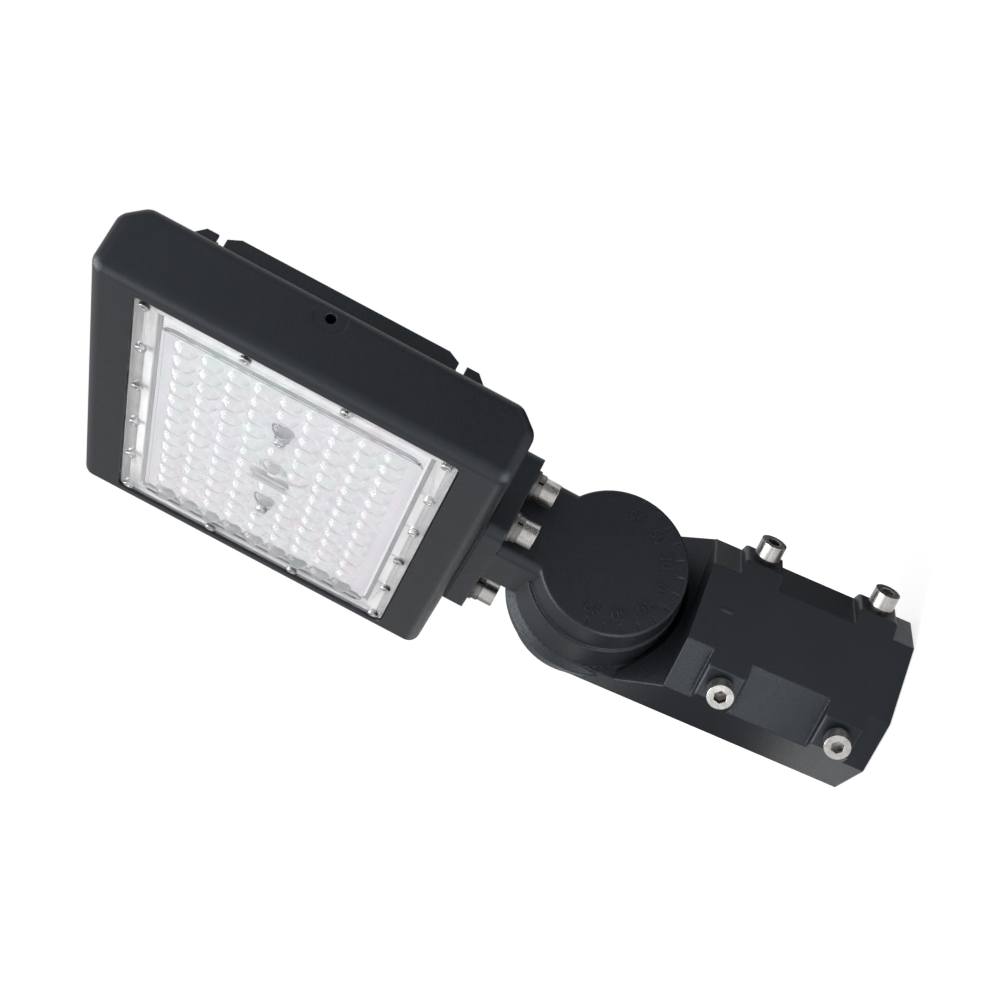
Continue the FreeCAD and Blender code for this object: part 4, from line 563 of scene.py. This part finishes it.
class FLOODLIGHT_OT_lens(bpy.types.Operator):
    """Make the lens plate clear"""

    bl_idname = "floodlight.lens"
    bl_label = "Finish the lens plate"

    def execute(self, context):
        settings = context.scene.flood_lens
        reflection = opaque(settings.reflection)
        material, tree, shader = new_finish(
            "clear_lens_plate", ior=1.33, transmission_weight=0.85, specular_tint=reflection)
        grain = effect(tree, "SkinGrain", {"Bumps per metre": 300.0})
        dust = effect(tree, "CornerDust", {"Reach": 0.004, "Amount": 0.25})["Mask"]
        stress = remap(tree, noise(tree, own_place(tree), 55.0, 1.0), 0.36, 0.64)
        shimmer = mix_colours(tree, stress, opaque(settings.pink), opaque(settings.green))
        clear = mix_colours(tree, remap(tree, grain["Drift"], 0.35, 0.6), opaque(settings.tint), shimmer)
        border = self.border_mask(tree, settings, context.scene.flood_scale.rest_tilt)
        frosted = mix_colours(tree, border, clear, opaque(settings.border))
        dusty = mix_colours(tree, dust, frosted, opaque(settings.dust))
        # Painted shade on the rib's inner walls.
        rib_shaded = mix_colours(tree, self.painted_rib_shade_mask(tree, settings), dusty, opaque(settings.painted_rib_shade))
        tree.links.new(rib_shaded, shader.inputs["Base Color"])
        shine = remap(tree, grain["Height"], *HEIGHT_RANGE, settings.roughness, settings.roughness + 0.03)
        frost = maths(tree, "MULTIPLY", border, settings.frost)
        tree.links.new(maths(tree, "MAXIMUM", shine, frost), shader.inputs["Roughness"])
        raise_surface(tree, shader, grain["Height"], relief=0.00002)
        dress("lens_plate", material)
        return {"FINISHED"}

    def painted_rib_shade_mask(self, tree, settings):
        """Where shade is painted: the inner walls of the rib that face the middle of the head."""
        depth = 0.0004
        least_facing = 0.7
        across = add_node(tree, "ShaderNodeSeparateXYZ", {0: own_place(tree)}).outputs["X"]
        near = maths(tree, "COMPARE", maths(tree, "ABSOLUTE", across), settings.rib_place, depth)
        normal = add_node(tree, "ShaderNodeNewGeometry").outputs["True Normal"]
        facing = maths(tree, "ABSOLUTE", add_node(tree, "ShaderNodeSeparateXYZ", {0: normal}).outputs["X"])
        return maths(tree, "MULTIPLY", near, maths(tree, "GREATER_THAN", facing, least_facing))

    def border_mask(self, tree, settings, tilt):
        """Where the plate lies on its seat, outside the rib."""
        place = add_node(tree, "ShaderNodeSeparateXYZ", {0: head_place(tree, tilt)}).outputs
        across = maths(tree, "ABSOLUTE", place["X"])
        along = maths(tree, "ABSOLUTE", maths(tree, "SUBTRACT", place["Z"], LENS_MIDDLE))
        sides = maths(tree, "GREATER_THAN", across, settings.rib_outside)
        ends = maths(tree, "GREATER_THAN", along, settings.rib_end)
        return maths(tree, "MAXIMUM", sides, ends)


class FLOODLIGHT_OT_light_board(bpy.types.Operator):
    """Finish the light board, its chips and the pad behind it"""

    bl_idname = "floodlight.light_board"
    bl_label = "Finish the light board"

    def execute(self, context):
        settings = context.scene.flood_board
        tilt = context.scene.flood_scale.rest_tilt
        dress("led_board", self.board_finish(settings, tilt))
        dress("led_chips", self.chip_finish(settings, tilt))
        pad = soft_finish("grey_thermal_pad", settings.pad, roughness=0.7, bumps=1400.0, relief=0.00005)
        dress("thermal_pad", pad)
        return {"FINISHED"}

    def from_chip(self, tree, settings, tilt):
        """Distance from the nearest chip along the head's width and length, in metres."""
        place = add_node(tree, "ShaderNodeSeparateXYZ", {0: head_place(tree, tilt)}).outputs
        from_middle = maths(tree, "SUBTRACT", place["Z"], LENS_MIDDLE)
        across = maths(tree, "PINGPONG", place["X"], settings.column_step / 2)
        along = maths(tree, "PINGPONG", from_middle, settings.row_step / 2)
        return across, along

    def board_finish(self, settings, tilt):
        """White coat with the copper tracks showing through faintly."""
        material, tree, shader = new_finish("white_board", specular_ior_level=0.4)
        edge = 0.0004
        track_height = 2.0
        along = self.from_chip(tree, settings, tilt)[1]
        track = remap(tree, along, settings.track_half, settings.track_half - edge)
        grain = effect(tree, "SkinGrain", {"Bumps per metre": 1500.0})
        patchy = maths(tree, "MULTIPLY", track, remap(tree, grain["Drift"], 0.2, 0.8, 0.5, 1.0))
        coat = mix_colours(tree, patchy, opaque(settings.mask), opaque(settings.track))
        tree.links.new(coat, shader.inputs["Base Color"])
        tree.links.new(remap(tree, grain["Height"], *HEIGHT_RANGE, 0.3, 0.45), shader.inputs["Roughness"])
        height = maths(tree, "MULTIPLY_ADD", track, track_height, grain["Height"])
        raise_surface(tree, shader, height, relief=0.00003)
        return material

    def chip_finish(self, settings, tilt):
        """Pale frame round a disc of phosphor."""
        material, tree, shader = new_finish("light_chip", specular_ior_level=0.5)
        edge = 0.00015
        disc_height = -3.0
        squares = [maths(tree, "MULTIPLY", side, side) for side in self.from_chip(tree, settings, tilt)]
        distance = maths(tree, "SQRT", maths(tree, "ADD", *squares))
        disc = remap(tree, distance, settings.phosphor_radius, settings.phosphor_radius - edge)
        grain = effect(tree, "SkinGrain", {"Bumps per metre": 4000.0})
        face = mix_colours(tree, disc, opaque(settings.chip_body), opaque(settings.phosphor))
        tree.links.new(face, shader.inputs["Base Color"])
        tree.links.new(remap(tree, grain["Height"], *HEIGHT_RANGE, 0.25, 0.45), shader.inputs["Roughness"])
        height = maths(tree, "MULTIPLY_ADD", disc, disc_height, grain["Height"])
        raise_surface(tree, shader, height, relief=0.00003)
        return material


class FLOODLIGHT_OT_driver_parts(bpy.types.Operator):
    """Finish the power supply, wires, connectors and seals"""

    bl_idname = "floodlight.driver_parts"
    bl_label = "Finish the driver parts"

    def execute(self, context):
        settings = context.scene.flood_driver
        dress("driver", metal_finish("driver_case", settings.case, settings.case_stain_and_shade, roughness=0.42))
        moulding = soft_finish(
            "white_moulding", settings.moulding, roughness=0.5, bumps=1600.0, relief=0.00004)
        for node in MOULDED_NODES:
            dress(node, moulding)
        seal = soft_finish("black_silicone", settings.seal, roughness=0.62, bumps=1200.0, relief=0.00006)
        for node in SEAL_NODES:
            dress(node, seal)
        pale_seal = soft_finish(
            "white_silicone", settings.pale_seal, roughness=0.55, bumps=1200.0, relief=0.00005)
        dress("lens_gasket", pale_seal)
        for node in WIRE_NODES:
            dress(node, self.wire_finish(node, settings))
        return {"FINISHED"}

    def wire_finish(self, node, settings):
        """Wire covers, some of them in the live colour."""
        material, tree, shader = new_finish(f"{node}_cover", specular_ior_level=0.4)
        island = add_node(tree, "ShaderNodeNewGeometry").outputs["Random Per Island"]
        live = maths(tree, "GREATER_THAN", island, 0.5)
        grain = effect(tree, "SkinGrain", {"Bumps per metre": 1800.0})
        cover = mix_colours(tree, live, opaque(settings.dark_wire), opaque(settings.live_wire))
        tree.links.new(cover, shader.inputs["Base Color"])
        tree.links.new(remap(tree, grain["Height"], *HEIGHT_RANGE, 0.42, 0.58), shader.inputs["Roughness"])
        raise_surface(tree, shader, grain["Height"], relief=0.00003)
        return material


class FLOODLIGHT_OT_scale_numbers(bpy.types.Operator):
    """Raise the numbers of the tilt scale on the knuckle's disc"""

    bl_idname = "floodlight.scale_numbers"
    bl_label = "Add the scale numbers"

    def execute(self, context):
        settings = context.scene.flood_scale
        head = Matrix.Translation(PIVOT) @ Matrix.Rotation(settings.rest_tilt, 4, "X")
        coat = bpy.data.materials.get("black_powder_coat")
        if coat is None:
            raise RuntimeError("the castings have no coat yet")
        middle = len(SCALE_NUMBERS) // 2
        for index, number in enumerate(SCALE_NUMBERS):
            piece = self.number_piece(context, f"scale_number_{index + 1}", number, settings)
            around = (index - middle) * settings.step
            piece.data.transform(head @ self.seat(around, settings))
            piece.data.materials.append(coat)
            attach(piece, "head")
        return {"FINISHED"}

    def number_piece(self, context, name, number, settings):
        """A raised number, flat on its own XY plane."""
        text = bpy.data.curves.new(name, "FONT")
        text.body = number
        text.size = settings.height / DIGIT_SHARE
        text.align_x = "CENTER"
        text.align_y = "CENTER"
        text.extrude = settings.relief
        text.bevel_depth = BEVEL_SHARE * settings.relief
        shape = bpy.data.objects.new(f"{name}_shape", text)
        context.scene.collection.objects.link(shape)
        context.view_layer.update()
        mesh = bpy.data.meshes.new_from_object(shape.evaluated_get(context.evaluated_depsgraph_get()))
        bpy.data.objects.remove(shape)
        piece = bpy.data.objects.new(name, mesh)
        context.scene.collection.objects.link(piece)
        return piece

    def seat(self, around, settings):
        """Where a number sits: on the disc's face, its foot toward the tilt axis."""
        outward = Vector((0, math.sin(around), -math.cos(around)))
        normal = Vector((1, 0, 0))
        across = outward.cross(normal)
        place = settings.face * normal + settings.radius * outward
        turn = Matrix((across, outward, normal)).transposed().to_4x4()
        return Matrix.Translation(place) @ turn


class FLOODLIGHT_OT_stage(bpy.types.Operator):
    """Lay the floor, hang the lamps and cards, and place the camera"""

    bl_idname = "floodlight.stage"
    bl_label = "Set the stage"

    def execute(self, context):
        settings = context.scene.flood_stage
        context.scene.view_settings.view_transform = "Standard"
        self.lay_floor(context, settings)
        self.light_world(context, settings)
        for name, plan in LAMPS.items():
            self.hang_lamp(context, name, plan, settings)
        for name, plan in CARDS.items():
            self.hang_card(context, name, plan, settings)
        self.place_camera(context, settings)
        return {"FINISHED"}

    def backdrop_rays(self, tree):
        """Rays that see the plain backdrop: straight from the camera, off gloss or through glass."""
        path = add_node(tree, "ShaderNodeLightPath").outputs
        seen = maths(tree, "MAXIMUM", path["Is Camera Ray"], path["Is Glossy Ray"])
        return maths(tree, "MAXIMUM", seen, path["Is Transmission Ray"])

    def flat_piece(self, context, name, shape):
        """An object made from a finished flat shape."""
        mesh = bpy.data.meshes.new(name)
        shape.to_mesh(mesh)
        shape.free()
        piece = bpy.data.objects.new(name, mesh)
        context.scene.collection.objects.link(piece)
        return piece

    def lay_floor(self, context, settings):
        """A pale round floor, which adds plain white where the backdrop is seen."""
        shape = bmesh.new()
        bmesh.ops.create_circle(shape, cap_ends=True, segments=96, radius=6.0)
        bmesh.ops.translate(shape, verts=shape.verts, vec=(0, 0, settings.floor_level))
        floor = self.flat_piece(context, "studio_floor", shape)
        material = bpy.data.materials.new("pale_floor")
        tree = cleared_tree(material)
        matt = add_node(tree, "ShaderNodeBsdfDiffuse", {"Color": opaque(settings.floor)}).outputs[0]
        share = maths(tree, "MULTIPLY", self.backdrop_rays(tree), settings.backdrop)
        both = add_node(tree, "ShaderNodeAddShader", {0: matt, 1: white_glow(tree, share)}).outputs[0]
        add_node(tree, "ShaderNodeOutputMaterial", {"Surface": both})
        floor.data.materials.append(material)

    def light_world(self, context, settings):
        """Even light from all round, white where it is seen."""
        world = bpy.data.worlds.new("studio_world")
        context.scene.world = world
        tree = cleared_tree(world)
        lights = []
        for strength in (settings.ambient, 1.0):
            inputs = {"Color": WHITE, "Strength": strength}
            lights.append(add_node(tree, "ShaderNodeBackground", inputs).outputs[0])
        parts = dict(enumerate((self.backdrop_rays(tree), *lights)))
        both = add_node(tree, "ShaderNodeMixShader", parts).outputs[0]
        add_node(tree, "ShaderNodeOutputWorld", {"Surface": both})

    def turned(self, plan, settings, forward):
        """The turn of a lamp or card whose forward axis points at what it faces."""
        aim = Vector(plan.faces or settings.camera_aim)
        return (aim - Vector(plan.place)).to_track_quat(forward, "Y").to_euler()

    def hang_lamp(self, context, name, plan, settings):
        """Hang a lamp, which the camera doesn't see."""
        light = bpy.data.lights.new(name, "AREA")
        light.size = plan.width
        light.energy = getattr(settings, plan.power)
        lamp = bpy.data.objects.new(name, light)
        context.scene.collection.objects.link(lamp)
        lamp.location = plan.place
        lamp.rotation_euler = self.turned(plan, settings, "-Z")
        lamp.visible_camera = False
        lamp.visible_diffuse = not plan.highlights_only
        if plan.reaches:
            self.reach_only(lamp, plan.reaches)

    def reach_only(self, lamp, nodes):
        """Let a lamp reach only these pieces of the frame."""
        reached = bpy.data.collections.new(f"{lamp.name}_reach")
        for node in nodes:
            reached.objects.link(frame["nodes"][node])
        lamp.light_linking.receiver_collection = reached

    def hang_card(self, context, name, plan, settings):
        """Hang a card, dark for the dim studio or bright for a highlight."""
        shape = bmesh.new()
        bmesh.ops.create_grid(shape, x_segments=1, y_segments=1, size=plan.half)
        card = self.flat_piece(context, name, shape)
        card.location = plan.place
        card.rotation_euler = self.turned(plan, settings, "Z")
        for kind in ("camera", "diffuse", "transmission", "shadow"):
            setattr(card, f"visible_{kind}", False)
        material = bpy.data.materials.new(f"{name}_tone")
        tree = cleared_tree(material)
        add_node(tree, "ShaderNodeOutputMaterial", {"Surface": white_glow(tree, plan.tone)})
        card.data.materials.append(material)

    def place_camera(self, context, settings):
        """The camera of the photograph."""
        lens = bpy.data.cameras.new("photo_camera")
        lens.sensor_width = 36.0
        lens.lens = settings.focal_length
        camera = bpy.data.objects.new("photo_camera", lens)
        context.scene.collection.objects.link(camera)
        place = Vector(settings.camera_place)
        sight = (Vector(settings.camera_aim) - place).to_track_quat("-Z", "Y").to_matrix().to_4x4()
        roll = Matrix.Rotation(settings.camera_roll, 4, "Z")
        camera.matrix_world = Matrix.Translation(place) @ sight @ roll
        context.scene.camera = camera


OPERATORS = (
    FLOODLIGHT_OT_castings,
    FLOODLIGHT_OT_hardware,
    FLOODLIGHT_OT_lens,
    FLOODLIGHT_OT_light_board,
    FLOODLIGHT_OT_driver_parts,
    FLOODLIGHT_OT_scale_numbers,
    FLOODLIGHT_OT_stage,
)


class FLOODLIGHT_PT_panel(bpy.types.Panel):
    """Lists the steps that finish the flood light"""

    bl_idname = "FLOODLIGHT_PT_panel"
    bl_label = "Flood Light"
    bl_space_type = "VIEW_3D"
    bl_region_type = "UI"
    bl_category = "Flood Light"

    def draw(self, context):
        for operator in OPERATORS:
            self.layout.operator(operator.bl_idname)
        for name, group in SETTINGS.items():
            box = self.layout.box()
            box.label(text=group.__doc__)
            for setting in group.__annotations__:
                box.prop(getattr(context.scene, name), setting)


def register():
    """Make the settings, operators and panel known to Blender."""
    for name, group in SETTINGS.items():
        bpy.utils.register_class(group)
        setattr(bpy.types.Scene, name, PointerProperty(type=group))
    for operator in OPERATORS:
        bpy.utils.register_class(operator)
    bpy.utils.register_class(FLOODLIGHT_PT_panel)


def unregister():
    """Take them away again."""
    bpy.utils.unregister_class(FLOODLIGHT_PT_panel)
    for operator in reversed(OPERATORS):
        bpy.utils.unregister_class(operator)
    for name, group in SETTINGS.items():
        delattr(bpy.types.Scene, name)
        bpy.utils.unregister_class(group)


def main():
    """Finish the flood light and set the stage."""
    register()
    bpy.ops.floodlight.castings()
    bpy.ops.floodlight.hardware()
    bpy.ops.floodlight.lens()
    bpy.ops.floodlight.light_board()
    bpy.ops.floodlight.driver_parts()
    bpy.ops.floodlight.scale_numbers()
    bpy.ops.floodlight.stage()


if __name__ == "__main__":
    main()
